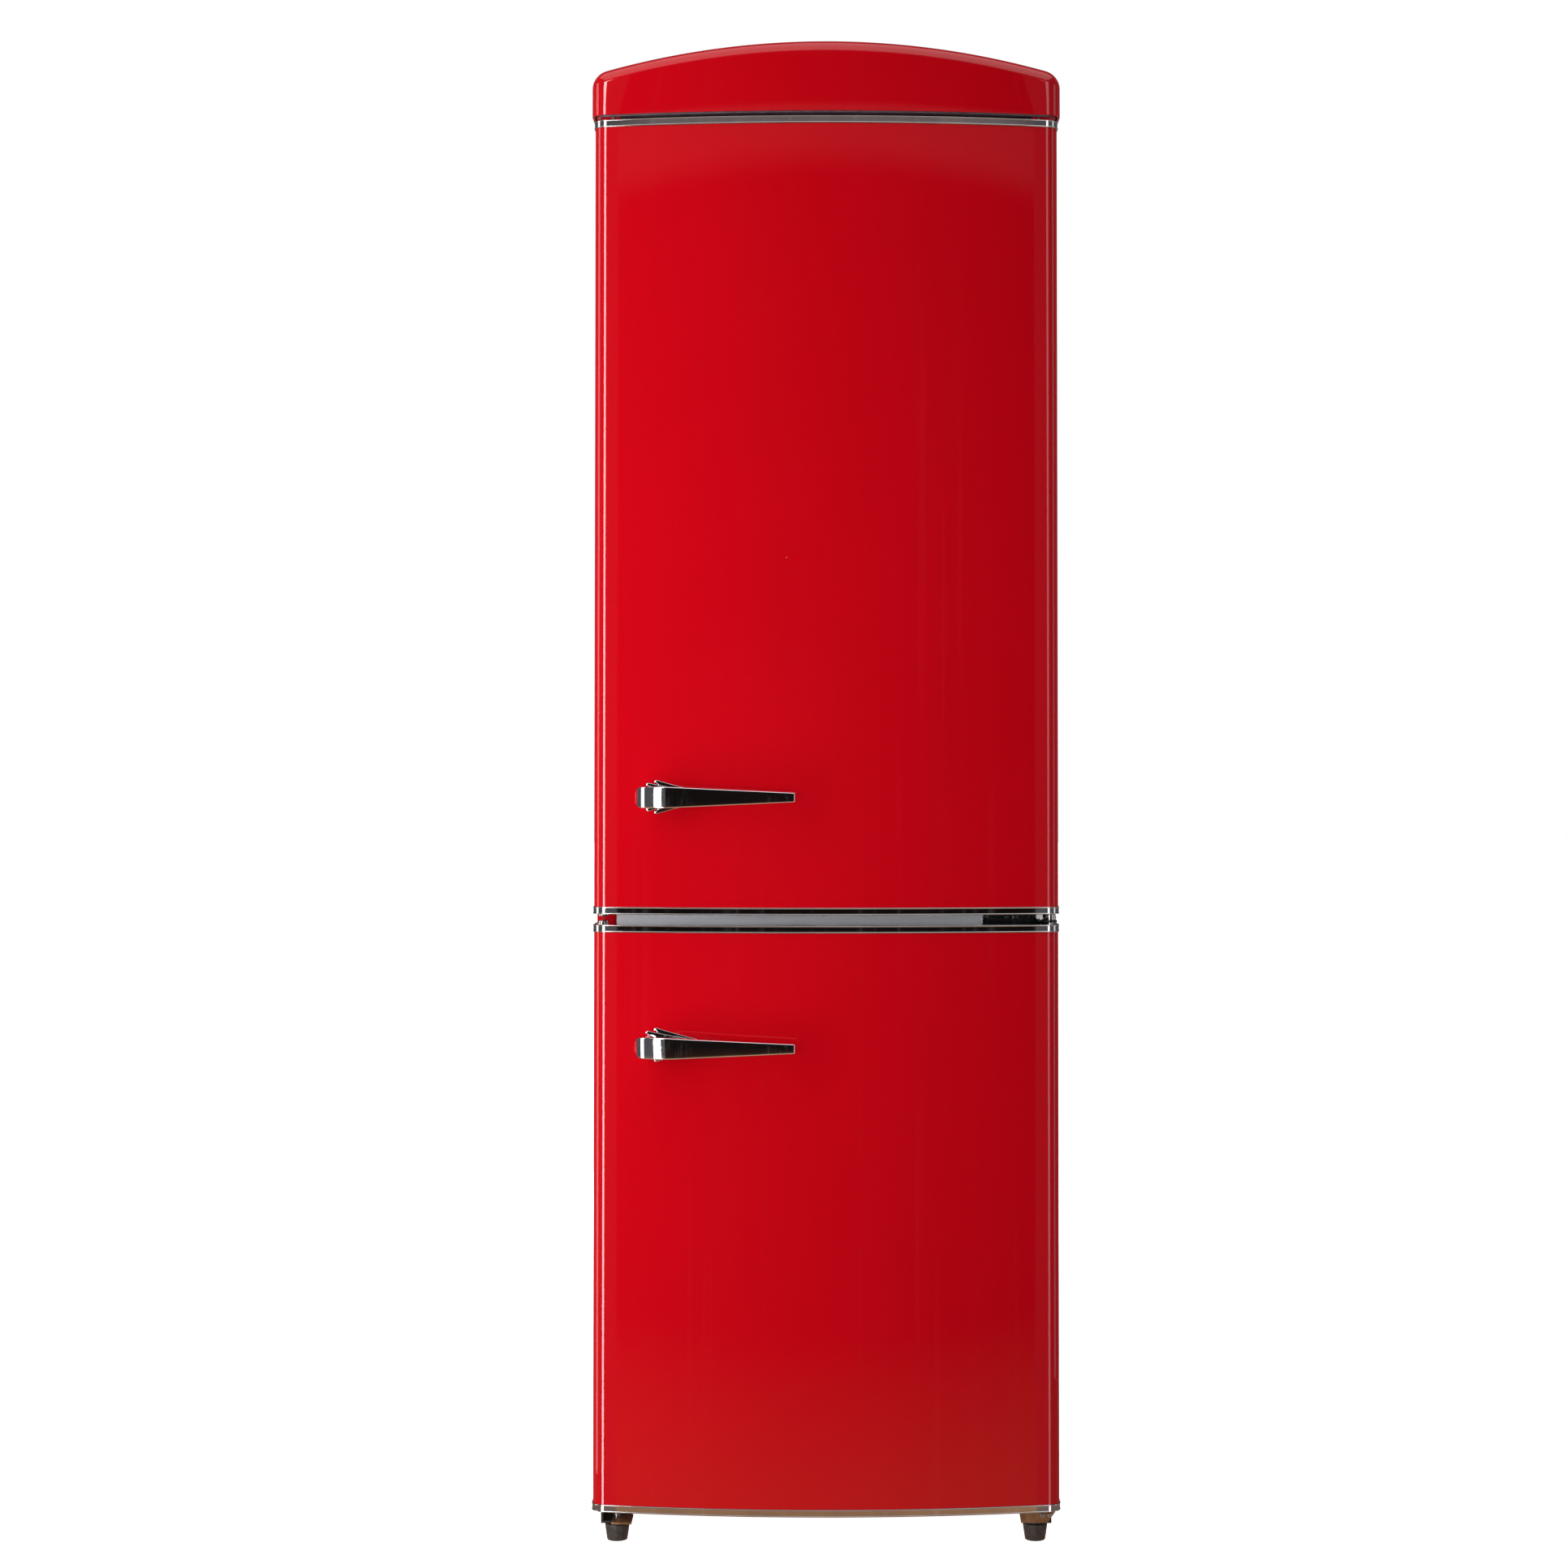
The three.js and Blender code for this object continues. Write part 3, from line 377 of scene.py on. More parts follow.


# Moulded polypropylene: even black with a faint grain.
black_plastic, tree, shader = start_material("moulded_black_polypropylene", "#3a3533", 0.42)
shade(tree, shader, pattern(tree, 6), "#332f2d", "#45403d")
rough(tree, shader, pattern(tree, 2.5), 0.38, 0.55)
bump(tree, shader, pattern(tree, 0.8), 0.04, 0.4)

zinc_stem, tree, shader = start_material("zinc_plated_steel", "#b4b6b8", 0.32, Metallic=1.0)
shade(tree, shader, pattern(tree, 5), "#a6a9ac", "#c2c3c4")
rough(tree, shader, pattern(tree, 3), 0.25, 0.42)

for side in ("left", "right"):
    low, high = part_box(f"foot_{side}")
    middle = (low + high) / 2
    radius = (high.x - low.x) / 2 + 1 * mm
    cup = rod((middle.x, middle.y, 9 * mm), radius, 18 * mm, sides=12)
    pick(lambda c, n: n.z < -0.9)
    bpy.ops.transform.resize(value=(0.83, 0.83, 1), center_override=(middle.x, middle.y, 0))
    pick(lambda c, n: n.z > 0.9)
    push((0, 0, 2.8 * mm))
    push((0, 0, 0.4 * mm), (0.64, 0.64, 1))
    push((0, 0, 2.4 * mm))
    bpy.ops.mesh.inset(thickness=3.2 * mm)
    push((0, 0, -0.4 * mm))
    pick(lambda c, n: n.z < -0.9)
    bpy.ops.mesh.inset(thickness=2 * mm)
    push((0, 0, 0.6 * mm))
    deselect()
    soften(cup, 0.9, 3, 25)
    finish(cup, f"levelling_foot_{side}", black_plastic, f"foot_{side}", "black_plastic", f"foot_{side}")
    stem = rod((middle.x, middle.y, 33 * mm), 4.9 * mm, 21 * mm, sides=24)
    thread = [rod((middle.x, middle.y, (25 + 1.5 * i) * mm), 5.0 * mm, 0.7 * mm, sides=24) for i in range(12)]
    finish(join(stem, *thread), f"foot_stem_{side}", zinc_stem, f"foot_{side}", "zinc_steel")


# --- Base frame, rollers and lower brackets -----------------------------------------------------
# The chassis under the cabinet: pressed and welded steel sheet in black powder coat, which carries
# the compressor, the two rear rollers and the front feet.
black_coat, tree, shader = start_material("black_powder_coated_steel", "#1a1b1d", 0.42, Coat_Weight=0.15)
shade(tree, shader, pattern(tree, 25), "#151618", "#212225")
rough(tree, shader, pattern(tree, 8), 0.34, 0.5)
bump(tree, shader, pattern(tree, 1.2), 0.03, 0.5)
dress(black_coat, "base_frame", "bottom_hinge")

for side in ("left", "right"):
    low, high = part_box(f"roller_{side}")
    middle = (low + high) / 2
    wheel = rod(middle, (high.z - low.z) / 2, high.x - low.x, "x", 48)
    for direction in (-1, 1):
        pick(lambda c, n: n.x * direction > 0.9)
        bpy.ops.mesh.inset(thickness=4 * mm)
        push((-direction * 3 * mm, 0, 0))
        bpy.ops.mesh.inset(thickness=5 * mm)
        push((direction * 2.4 * mm, 0, 0))
    deselect()
    soften(wheel, 0.8, 2)
    finish(wheel, f"rear_roller_{side}", black_plastic, f"roller_{side}", "black_plastic", f"roller_{side}")


# --- Cabinet ------------------------------------------------------------------------------------
# The outer wrapper is one folded steel sheet in glossy red lacquer, over foam poured in place. The
# back and the compressor niche, with its two cheeks, are closed with galvanised sheet.
# Lacquer: deep red that mirrors sharply, with a slight orange peel and a few dust specks.
lacquer, tree, shader = start_material(
    "red_gloss_lacquer", "#bf0413", 0.5, Coat_Weight=1.0, Coat_Roughness=0.02, Specular_IOR_Level=0.0
)
tint = pattern(tree, 180, 2)
dust = add_node(tree, "ShaderNodeTexVoronoi", {"Scale": 9.0}, feature="F1")
place = add_node(tree, "ShaderNodeTexCoord").outputs["Object"]
tree.links.new(place, dust.inputs["Vector"])
# Specks of dust about 0.8 mm across, one in each cell of about 110 mm.
speck = add_node(
    tree,
    "ShaderNodeMapRange",
    {"Value": dust.outputs["Distance"], "From Min": 0.004, "From Max": 0.008, "To Min": 0.55, "To Max": 0.0},
)
body_red = add_node(tree, "ShaderNodeMix", {"Factor": tint}, data_type="RGBA")
body_red.inputs[6].default_value = linear("#bc0412")
body_red.inputs[7].default_value = linear("#c20515")
dusty = add_node(tree, "ShaderNodeMix", {"Factor": speck.outputs[0]}, data_type="RGBA")
tree.links.new(body_red.outputs[2], dusty.inputs[6])
dusty.inputs[7].default_value = linear("#e8c9c6")
tree.links.new(dusty.outputs[2], shader.inputs["Base Color"])
bump(tree, shader, pattern(tree, 160, 0), 0.006, 0.6)
dress(lacquer, "cabinet_shell")

# Polyurethane foam: cream yellow, with a fine cell structure.
foam, tree, shader = start_material("polyurethane_foam", "#e2cf8e", 0.95)
shade(tree, shader, pattern(tree, 12), "#dac585", "#ead99c")
bump(tree, shader, pattern(tree, 1.5), 0.3)
dress(foam, "cabinet_insulation", "upper_door_insulation", "lower_door_insulation")

# Hot-dip galvanised sheet: crystals of zinc about 12 mm across, each a little lighter or darker.
galvanised, tree, shader = start_material("galvanised_sheet", "#a9adb0", 0.4, Metallic=0.45)
place = add_node(tree, "ShaderNodeTexCoord").outputs["Object"]
spangle = add_node(tree, "ShaderNodeTexVoronoi", {"Vector": place, "Scale": 80.0})
grey = add_node(tree, "ShaderNodeSeparateColor", {"Color": spangle.outputs["Color"]})
shade(tree, shader, grey.outputs[0], "#9a9fa3", "#b9bcbe", 0.0, 1.0)
rough(tree, shader, grey.outputs[1], 0.32, 0.5)
dress(galvanised, "back_panel", "niche_panel", "top_hinge")

niche_low, niche_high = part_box("niche_panel")
cheeks = [
    soften(block((x, niche_low.y, niche_low.z), (x + 1 * mm, niche_high.y, niche_high.z)), 0.2, 1)
    for x in (niche_low.x - 1.1 * mm, niche_high.x + 0.1 * mm)
]
finish(join(*cheeks), "niche_cheeks", galvanised, "cabinet", "zinc_steel")


# --- Rail between the compartments --------------------------------------------------------------
# A rolled steel strip over the foam wall between fridge and freezer, painted blue-grey, with a
# groove along its middle, and held at its ends by the cabinet's folded front.
# Satin paint: pale blue-grey, with faint lines along the strip from the rolling.
rail_paint, tree, shader = start_material("blue_grey_satin_paint", "#dfe3ea", 0.3)
brushed = pattern(tree, 8, 1, (0.01, 1, 1))
shade(tree, shader, brushed, "#e8ebf2", "#eef0f6")
rough(tree, shader, brushed, 0.38, 0.48)
low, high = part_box("mullion_rail")
rail = block(low, high)
middle_z = (low.z + high.z) / 2
pick(lambda c, n: n.y < -0.9)
for z in (middle_z - 2.2 * mm, middle_z - 1.2 * mm, middle_z + 1.2 * mm, middle_z + 2.2 * mm):
    bpy.ops.mesh.select_all(action="SELECT")
    bpy.ops.mesh.bisect(plane_co=(0, 0, z), plane_no=(0, 0, 1))
pick(lambda c, n: n.y < -0.9 and abs(c.z - middle_z) < 1.3 * mm)
bpy.ops.transform.translate(value=(0, 0.9 * mm, 0))
deselect()
soften(rail, 0.25, 2, 20)
finish(rail, "compartment_rail", rail_paint, "cabinet", "grey_rail", "mullion_rail")


# --- Doors --------------------------------------------------------------------------------------
# Each door is a folded red steel sheet bowed to the front, filled with foam, with a chromed end
# cap above and below. The plan outline is drawn once, pulled in or out, and extruded.
BOW_RADIUS = 1.555
CORNER_RADIUS = 16 * mm
EASE_RADIUS = 45 * mm
EASE = math.radians(4.4)
SHORT_TURN = 0.001  # a first short step of the bow, which keeps its shading crisp
half_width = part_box("upper_door_skin")[1].x
door_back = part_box("upper_door_skin")[1].y


def plan_arcs():
    """The plan outline's arcs on its right half, from the side to the middle of the bow: centre,
    angle turned and steps. The corner opens into the bow through a short, wider arc."""
    bow = Vector((0, crest_y + BOW_RADIUS))
    turn = math.asin((half_width - CORNER_RADIUS) / (BOW_RADIUS - CORNER_RADIUS))
    for _ in range(30):  # closes in on the turn at which the corner meets the side
        ease = bow + (BOW_RADIUS - EASE_RADIUS) * Vector((math.sin(turn), -math.cos(turn)))
        out = Vector((math.sin(turn + EASE), -math.cos(turn + EASE)))
        corner = ease + (EASE_RADIUS - CORNER_RADIUS) * out
        turn += (half_width - CORNER_RADIUS - corner.x) / BOW_RADIUS
    rest = math.pi / 2 - turn - EASE
    bows = [(bow, SHORT_TURN, 1), (bow, turn - SHORT_TURN, 24)]
    return [(corner, rest, 12), (ease, EASE, 5), *bows]


def front_at(x, lift=0.0):
    """The doors' front surface at a place across them, lifted off by some metres."""
    return crest_y + BOW_RADIUS - math.sqrt((BOW_RADIUS + lift) ** 2 - x**2)


def plan_wire(inset, back_y, z):
    """In edit mode, the doors' plan outline as a chain of edges: side, corner, bow, corner, side."""
    right = plan_arcs()
    corner_y = right[0][0].y
    deselect()
    bpy.ops.mesh.primitive_plane_add(size=mm)
    bpy.ops.object.mode_set(mode="EDIT")
    bpy.ops.mesh.select_mode(type="VERT")
    bpy.ops.mesh.select_all(action="SELECT")
    bpy.ops.mesh.merge(type="CENTER")
    bpy.ops.transform.translate(value=(half_width - inset, back_y, z))
    edge = 2 * mm
    for step in (corner_y + edge - back_y, -edge):
        bpy.ops.mesh.extrude_region_move(TRANSFORM_OT_translate={"value": (0, step, 0)})
    left = [(Vector((-c.x, c.y)), angle, steps) for c, angle, steps in reversed(right)]
    for centre, angle, steps in [*right, *left]:
        bpy.ops.mesh.spin(steps=steps, angle=angle, center=(*centre, z), axis=(0, 0, 1))
    for step in (edge, back_y - corner_y - edge):
        bpy.ops.mesh.extrude_region_move(TRANSFORM_OT_translate={"value": (0, step, 0)})
    return bpy.context.object


def plan_prism(inset, back_y, low_z, high_z):
    """A closed solid of the doors' plan outline between two levels."""
    made = plan_wire(inset, back_y, low_z)
    bpy.ops.mesh.select_all(action="SELECT")
    bpy.ops.mesh.edge_face_add()
    bpy.ops.mesh.extrude_region_move(TRANSFORM_OT_translate={"value": (0, 0, high_z - low_z)})
    bpy.ops.mesh.select_all(action="SELECT")
    bpy.ops.mesh.normals_make_consistent(inside=False)
    bpy.ops.object.mode_set(mode="OBJECT")
    return made


# Chromed ABS: a near-perfect mirror, slightly softer and darker than plated steel.
chromed_plastic, tree, shader = start_material("chromed_abs", "#c9c8ca", 0.05, Metallic=1.0)
shade(tree, shader, pattern(tree, 40), "#c4c3c6", "#d0cfd0")
rough(tree, shader, pattern(tree, 15), 0.015, 0.045)

BEAD = 1.7 * mm
for door in ("upper_door", "lower_door"):
    low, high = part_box(f"{door}_skin")
    panel = plan_wire(0, door_back, low.z)
    bpy.ops.mesh.select_all(action="SELECT")
    bpy.ops.mesh.extrude_region_move(TRANSFORM_OT_translate={"value": (0, 0, high.z - low.z)})
    bpy.ops.mesh.select_all(action="SELECT")
    bpy.ops.mesh.normals_make_consistent(inside=False)
    bpy.ops.object.mode_set(mode="OBJECT")
    modify(panel, "SOLIDIFY", thickness=1 * mm, offset=-1)
    finish(panel, f"{door}_panel", lacquer, door, "red_lacquered_steel", f"{door}_skin")
    for end in ("top", "bottom"):
        node = f"{door}_{end}_trim"
        low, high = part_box(node)
        # A plain band between two raised beads.
        band = plan_prism(-0.9 * mm, door_back, low.z + 0.9 * mm, high.z - 0.9 * mm)
        beads = [
            soften(plan_prism(-1.5 * mm, door_back, z, z + BEAD), 0.8, 5, 40)
            for z in (low.z, high.z - BEAD)
        ]
        trim = join(band, *beads)
        finish(trim, f"{door}_{end}_end_cap", chromed_plastic, door, "chromed_trim", node)


# --- Top cap ------------------------------------------------------------------------------------
# A hollow hood moulded in one piece and lacquered with the doors. It overhangs them by 4 mm, is
# arched from side to side and rounded all round, and is screwed to two lugs under its lip. Its
# levels follow the arch, which no operator draws, so its points are listed ring by ring.
def mesh_piece(name, points, faces):
    """An object made from points and the faces between them."""
    data = bpy.data.meshes.new(name)
    data.from_pydata(points, [], faces)
    made = bpy.data.objects.new(name, data)
    bpy.context.scene.collection.objects.link(made)
    return made


def plan_points(inset, back_y):
    """The doors' plan outline as a list of points, from the right to the left."""
    made = plan_wire(inset, back_y, 0)
    bpy.ops.object.mode_set(mode="OBJECT")
    order = {}
    for edge in made.data.edges:
        a, b = edge.vertices
        order.setdefault(a, []).append(b)
        order.setdefault(b, []).append(a)
    ends = [i for i, near in order.items() if len(near) == 1]
    here = max(ends, key=lambda i: made.data.vertices[i].co.x)
    chain = [here]
    while len(chain) < len(made.data.vertices):
        here = next(i for i in order[here] if i not in chain[-2:])
        chain.append(here)
    points = [made.data.vertices[i].co.copy() for i in chain]
    bpy.data.objects.remove(made)
    return points


CROWN_RADIUS = 1.26
CAP_FILLET = 18 * mm
cap_low, cap_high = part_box("top_cap")
crown_z = cap_high.z - CROWN_RADIUS


def cap_ring(pull, drop, level=None):
    """One level of the cap: its front outline, then its back edge at the same widths."""
    front = plan_points(pull - (cap_high.x - half_width), cap_high.y)
    ring = []
    for p in [*front, *(Vector((q.x, cap_high.y, 0)) for q in reversed(front))]:
        top = crown_z + math.sqrt(CROWN_RADIUS**2 - p.x**2)
        ring.append((p.x, p.y, top - drop if level is None else level))
    return ring


FILLET_STEPS = 8
rings = [cap_ring(0, 0, cap_low.z)]
for i in range(FILLET_STEPS + 1):
    angle = math.pi / 2 * i / FILLET_STEPS
    rings.append(cap_ring(CAP_FILLET * (1 - math.cos(angle)), CAP_FILLET * (1 - math.sin(angle))))
count = len(rings[0])
points = [p for ring in rings for p in ring]
faces = []
for r in range(len(rings) - 1):
    for i in range(count):
        j = (i + 1) % count
        faces.append((r * count + i, (r + 1) * count + i, (r + 1) * count + j, r * count + j))
last = (len(rings) - 1) * count
for i in range(count // 2 - 1):
    faces.append((last + i, last + count - 1 - i, last + count - 2 - i, last + i + 1))
hood = mesh_piece("hood", points, faces)
deselect()
hood.select_set(True)
bpy.context.view_layer.objects.active = hood
bpy.ops.object.mode_set(mode="EDIT")
bpy.ops.mesh.select_all(action="SELECT")
bpy.ops.mesh.remove_doubles(threshold=1e-5)
bpy.ops.mesh.normals_make_consistent(inside=False)
bpy.ops.object.mode_set(mode="OBJECT")
modify(hood, "SOLIDIFY", thickness=3 * mm, offset=-1)
finish(hood, "cap_hood", lacquer, "cabinet", "red_lacquered_steel", "top_cap", angle=30)

# A moulded tray closes the hood from below, its dark purple-grey painted shade of the gap under the cap, and
# a red lug stands at each front corner.
underside = plan_prism(
    1.5 * mm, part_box("cabinet_shell")[0].y, cap_low.z - 1.4 * mm, cap_low.z + 1.2 * mm
)
# Painted shade: the tray's dark purple-grey stands in for the shade in the gap under the cap.
shade_abs, tree, shader = start_material("dark_abs_painted_gap_shade", "#5a4a50", 0.35)
shade(tree, shader, pattern(tree, 12), "#514248", "#625258")
rough(tree, shader, pattern(tree, 5), 0.3, 0.42)
soften(underside, 0.6, 2, 40)
finish(underside, "cap_underside", shade_abs, "cabinet", "black_plastic")
LUG_ENDS = (264 * mm, 294 * mm)
lug_y = front_at(sum(LUG_ENDS) / 2) + 7 * mm
lugs = []
for sign in (-1, 1):
    ends = sorted(sign * x for x in LUG_ENDS)
    lug_low = (ends[0], lug_y, cap_low.z - 5.4 * mm)
    lugs.append(soften(block(lug_low, (ends[1], lug_y + 22 * mm, cap_low.z)), 1.4, 3))
finish(join(*lugs), "cap_lugs", lacquer, "cabinet", "red_lacquered_steel")


# --- Handles ------------------------------------------------------------------------------------
# Each handle is a tapered lever of polished, chromed zinc casting, bent back on to the door at its
# outer end. Two leaf-shaped plates spread from under it like fins, bedded on the bowed door.
def sweep(rings):
    """A closed solid drawn through rings of as many corners, by extruding from one to the next."""
    deselect()
    bpy.ops.mesh.primitive_circle_add(vertices=len(rings[0]), radius=0.01, fill_type="NGON")
    bpy.ops.object.mode_set(mode="EDIT")
    bpy.ops.mesh.select_mode(type="VERT")
    mesh = bmesh.from_edit_mesh(bpy.context.object.data)
    for vert, point in zip(mesh.verts, rings[0]):
        vert.co = point
    bpy.ops.mesh.select_all(action="SELECT")
    for before, after in zip(rings, rings[1:]):
        bpy.ops.mesh.extrude_region_move(TRANSFORM_OT_translate={"value": (0, 0, 0)})
        mesh = bmesh.from_edit_mesh(bpy.context.object.data)
        for vert in [v for v in mesh.verts if v.select]:
            nearest = min(range(len(before)), key=lambda i: (vert.co - Vector(before[i])).length)
            vert.co = after[nearest]
        bmesh.update_edit_mesh(bpy.context.object.data)
    bpy.ops.mesh.select_all(action="SELECT")
    bpy.ops.mesh.normals_make_consistent(inside=False)
    bpy.ops.object.mode_set(mode="OBJECT")
    return bpy.context.object


# Polished chrome plate: a sharp mirror, barely clouded by handling.
chrome, tree, shader = start_material("polished_chrome_plate", "#dcdcdf", 0.03, Metallic=1.0)
shade(tree, shader, pattern(tree, 30), "#d6d6da", "#e4e4e6")
rough(tree, shader, pattern(tree, 12), 0.02, 0.06)

LEVER_FOOT = 40 * mm
WIDE_BEND = 176 * mm
WIDE_TURN = math.radians(17)
TIGHT_BEND = 29.7 * mm
INNER_BEND = 14 * mm
BAR = 11 * mm
END_ROUND = 8 * mm
BEND_STEPS = 22


def arc_points(x, y, radius, start, end, steps):
    """Points round an arc seen from above; angles from straight in front, positive to the left."""
    turns = [start + (end - start) * i / steps for i in range(steps + 1)]
    return [(x - radius * math.sin(a), y - radius * math.cos(a)) for a in turns]


def lever(low, high):
    """The tapered lever between two corners of its box, drawn ring by ring from its foot."""
    root, tip = (high.z - low.z) / 2, 6 * mm
    axis = (low.z + high.z) / 2
    front, back = low.y, low.y + BAR
    bottom = front_at(low.x + LEVER_FOOT / 2, 8.3 * mm)
    foot = low.x + LEVER_FOOT
    tight_x = low.x + TIGHT_BEND
    wide_x = tight_x + (WIDE_BEND - TIGHT_BEND) * math.sin(WIDE_TURN)
    tight_y = front + WIDE_BEND - (WIDE_BEND - TIGHT_BEND) * math.cos(WIDE_TURN)
    outer = [(low.x, bottom), (low.x, (bottom + tight_y) / 2)]
    outer += arc_points(tight_x, tight_y, TIGHT_BEND, math.pi / 2, WIDE_TURN, BEND_STEPS - 8)[:-1]
    outer += arc_points(wide_x, front + WIDE_BEND, WIDE_BEND, WIDE_TURN, 0, 8)
    inner = [(foot, bottom), (foot, (bottom + back + INNER_BEND) / 2)]
    inner_x = foot + INNER_BEND
    inner += arc_points(inner_x, back + INNER_BEND, INNER_BEND, math.pi / 2, 0, BEND_STEPS)
    outer += [((wide_x + high.x) / 2, front), (high.x, front)]
    inner += [((inner_x + high.x) / 2, back), (high.x, back)]

    def reach(x):
        """Half the lever's height at a place along it."""
        share = max(0, (x - low.x - LEVER_FOOT) / (high.x - low.x - LEVER_FOOT))
        across = END_ROUND - min(x - low.x, END_ROUND)
        return root + (tip - root) * share - END_ROUND + math.sqrt(END_ROUND**2 - across**2)

    rings = []
    for (ox, oy), (ix, iy) in zip(outer, inner):
        out, inside = reach(ox), reach(ix)
        rings.append(
            [(ox, oy, axis + out), (ox, oy, axis - out), (ix, iy, axis - inside), (ix, iy, axis + inside)]
        )
    return soften(sweep(rings), 1.5, 4, 40)


def fin(low, high, edge, rise, lift, direction):
    """One blade of a fin plate, above the lever or below it."""
    axis = (low.z + high.z) / 2
    end = low.x + 92 * mm
    start = low.x + edge
    places = [(0, 2.6), (0.6, 1.2), (1.8, 0.3), (3.4, 0)]
    under_edge = rise - 3.6 * mm
    stations = [(start + dx * mm, rise - drop * mm, under_edge + dx * 0.1 * mm) for dx, drop in places]
    for share in (0.08, 0.3, 0.55, 0.8, 1.0):
        x = start + 3.4 * mm + (end - start - 3.4 * mm) * share
        top = rise + (4.5 * mm - rise) * share**0.9
        low_edge = under_edge * max(0.0, 1 - share * 9) - 1 * mm
        stations.append((x, top, low_edge))
    rings = []
    for x, top, under in stations:
        front, back = front_at(x, lift), front_at(x) + 0.5 * mm
        z = [axis + direction * top, axis + direction * under]
        rings.append([(x, front, z[0]), (x, front, z[1]), (x, back, z[1]), (x, back, z[0])])
    return soften(sweep(rings), 0.9, 3, 40)


# Each plate's outer end behind the lever's, its half height and how far it stands off the door.
FIN_PLATES = [(12 * mm, 17.9 * mm, 8 * mm), (22.4 * mm, 21.6 * mm, 4 * mm)]
for side in ("upper", "lower"):
    low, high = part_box(f"{side}_handle_lever")
    arm = lever(low, high)
    finish(arm, f"{side}_lever", chrome, f"{side}_door", "chrome", f"{side}_handle_lever")
    blades = [fin(low, high, *plate, way) for plate in FIN_PLATES for way in (1, -1)]
    base = join(*blades)
    finish(base, f"{side}_fin_plates", chrome, f"{side}_door", "chrome", f"{side}_handle_base")


# --- Screws, caps and plugs ---------------------------------------------------------------------
# Small zinc-plated cross-head screws hold the hinges and the cap; the unused hinge holes on the
# left, there so that the doors can be hung the other way, are closed with domed plugs.
def screw_template(radius):
    """A pan-head screw with a cross recess, whose head faces up from the origin."""
    head = rod((0, 0, radius * 0.35), radius, radius * 0.7, sides=24)
    soften(head, radius * 300, 3, 40)
    for size in ((1.25, 0.24), (0.24, 1.25)):
        slot = block(
            (-size[0] * radius / 2, -size[1] * radius / 2, radius * 0.35),
            (size[0] * radius / 2, size[1] * radius / 2, radius),
        )
        modify(head, "BOOLEAN", object=slot, operation="DIFFERENCE", solver="EXACT")
        bpy.data.objects.remove(slot)
    return head


FACING = {
    "front": Matrix.Rotation(math.pi / 2, 4, "X"),
    "back": Matrix.Rotation(-math.pi / 2, 4, "X"),
    "up": Matrix.Identity(4),
    "down": Matrix.Rotation(math.pi, 4, "X"),
}


def place_copies(template, places, facing):
    """Copies of one model, each with its own mesh, turned to face a side, joined as one piece."""
    made = []
    for place in places:
        copied = template.copy()
        copied.data = template.data.copy()
        bpy.context.scene.collection.objects.link(copied)
        copied.data.transform(Matrix.Translation(place) @ FACING[facing])
        made.append(copied)
    bpy.data.objects.remove(template)
    return join(*made)


face_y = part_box("cabinet_shell")[0].y
gap_low, gap_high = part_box("lower_door_top_trim")[1].z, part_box("upper_door_bottom_trim")[0].z
cap_gap = (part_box("upper_door_top_trim")[1].z + cap_low.z) / 2
small = screw_template(1.5 * mm)
spots = [(x * mm, lug_y, cap_gap - 0.1 * mm) for x in (-290, -274, 274, 290)]
finish(place_copies(small, spots, "front"), "cap_screws", zinc_stem, "cabinet", "zinc_steel")

pin_y = (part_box("door_stop")[0].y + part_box("door_stop")[1].y) / 2
hinge_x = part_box("door_stop")[1].x + 11 * mm
for door, z, way in (
    ("lower_door", gap_low, 1),
    ("upper_door", gap_high, -1),
    ("upper_door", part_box("upper_door_top_trim")[1].z, 1),
):
    if (door, way) == ("upper_door", 1):
        name, height = "upper_door_top_plug", 2.6 * mm
    else:
        name, height = f"{door}_plug", 4.4 * mm
    plug = rod((-hinge_x + 2 * mm, pin_y - 1 * mm, z + way * height / 2), 6.2 * mm, height, sides=32)
    soften(plug, height * 700, 5, 40)
    seat = rod((-hinge_x + 2 * mm, pin_y - 1 * mm, z + way * 0.4 * mm), 7.2 * mm, 0.8 * mm, sides=32)
    finish(join(plug, seat), name, chrome, door, "chrome")


# --- Middle hinge -------------------------------------------------------------------------------
# A black enamelled steel plate screwed over the rail's right end, with a second plate folded out
# of it, an arm forward, and a chromed barrel whose pins carry both doors.
low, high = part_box("middle_hinge")
mid_z = (gap_low + gap_high) / 2
plate_high = (297 * mm, face_y - 0.3 * mm, mid_z + 5.7 * mm)
plate = block((low.x, face_y - 3.3 * mm, mid_z - 9.6 * mm), plate_high)
plate = soften(plate, 0.6, 2)
fold_high = (290 * mm, face_y - 2.5 * mm, mid_z + 5.2 * mm)
fold = block((241 * mm, face_y - 6 * mm, mid_z - 8.6 * mm), fold_high)
fold = soften(fold, 1.3, 3)
arm = block((273 * mm, pin_y, mid_z - 5.4 * mm), (295 * mm, face_y - 2 * mm, mid_z - 2.2 * mm))
arm = soften(arm, 0.8, 3)
boss = soften(rod((hinge_x, pin_y, mid_z - 3.8 * mm), 8 * mm, 3.2 * mm, sides=40), 0.6, 2)
ribs = []
for x in (247, 262):
    rib_high = ((x + 2.2) * mm, face_y - 5 * mm, mid_z + 4.6 * mm)
    ribs.append(soften(block((x * mm, face_y - 7 * mm, mid_z - 4.6 * mm), rib_high), 0.5, 2))
# Black enamel on steel: glossy, with a faint ripple.
black_enamel, tree, shader = start_material("black_enamelled_steel", "#17191b", 0.22, Coat_Weight=0.4)
shade(tree, shader, pattern(tree, 14), "#131517", "#202326")
rough(tree, shader, pattern(tree, 5), 0.16, 0.3)
bump(tree, shader, pattern(tree, 2.5, 1), 0.03, 0.5)
bracket = join(plate, fold, arm, boss, *ribs)
finish(bracket, "middle_hinge_bracket", black_enamel, "cabinet", "black_steel", "middle_hinge")

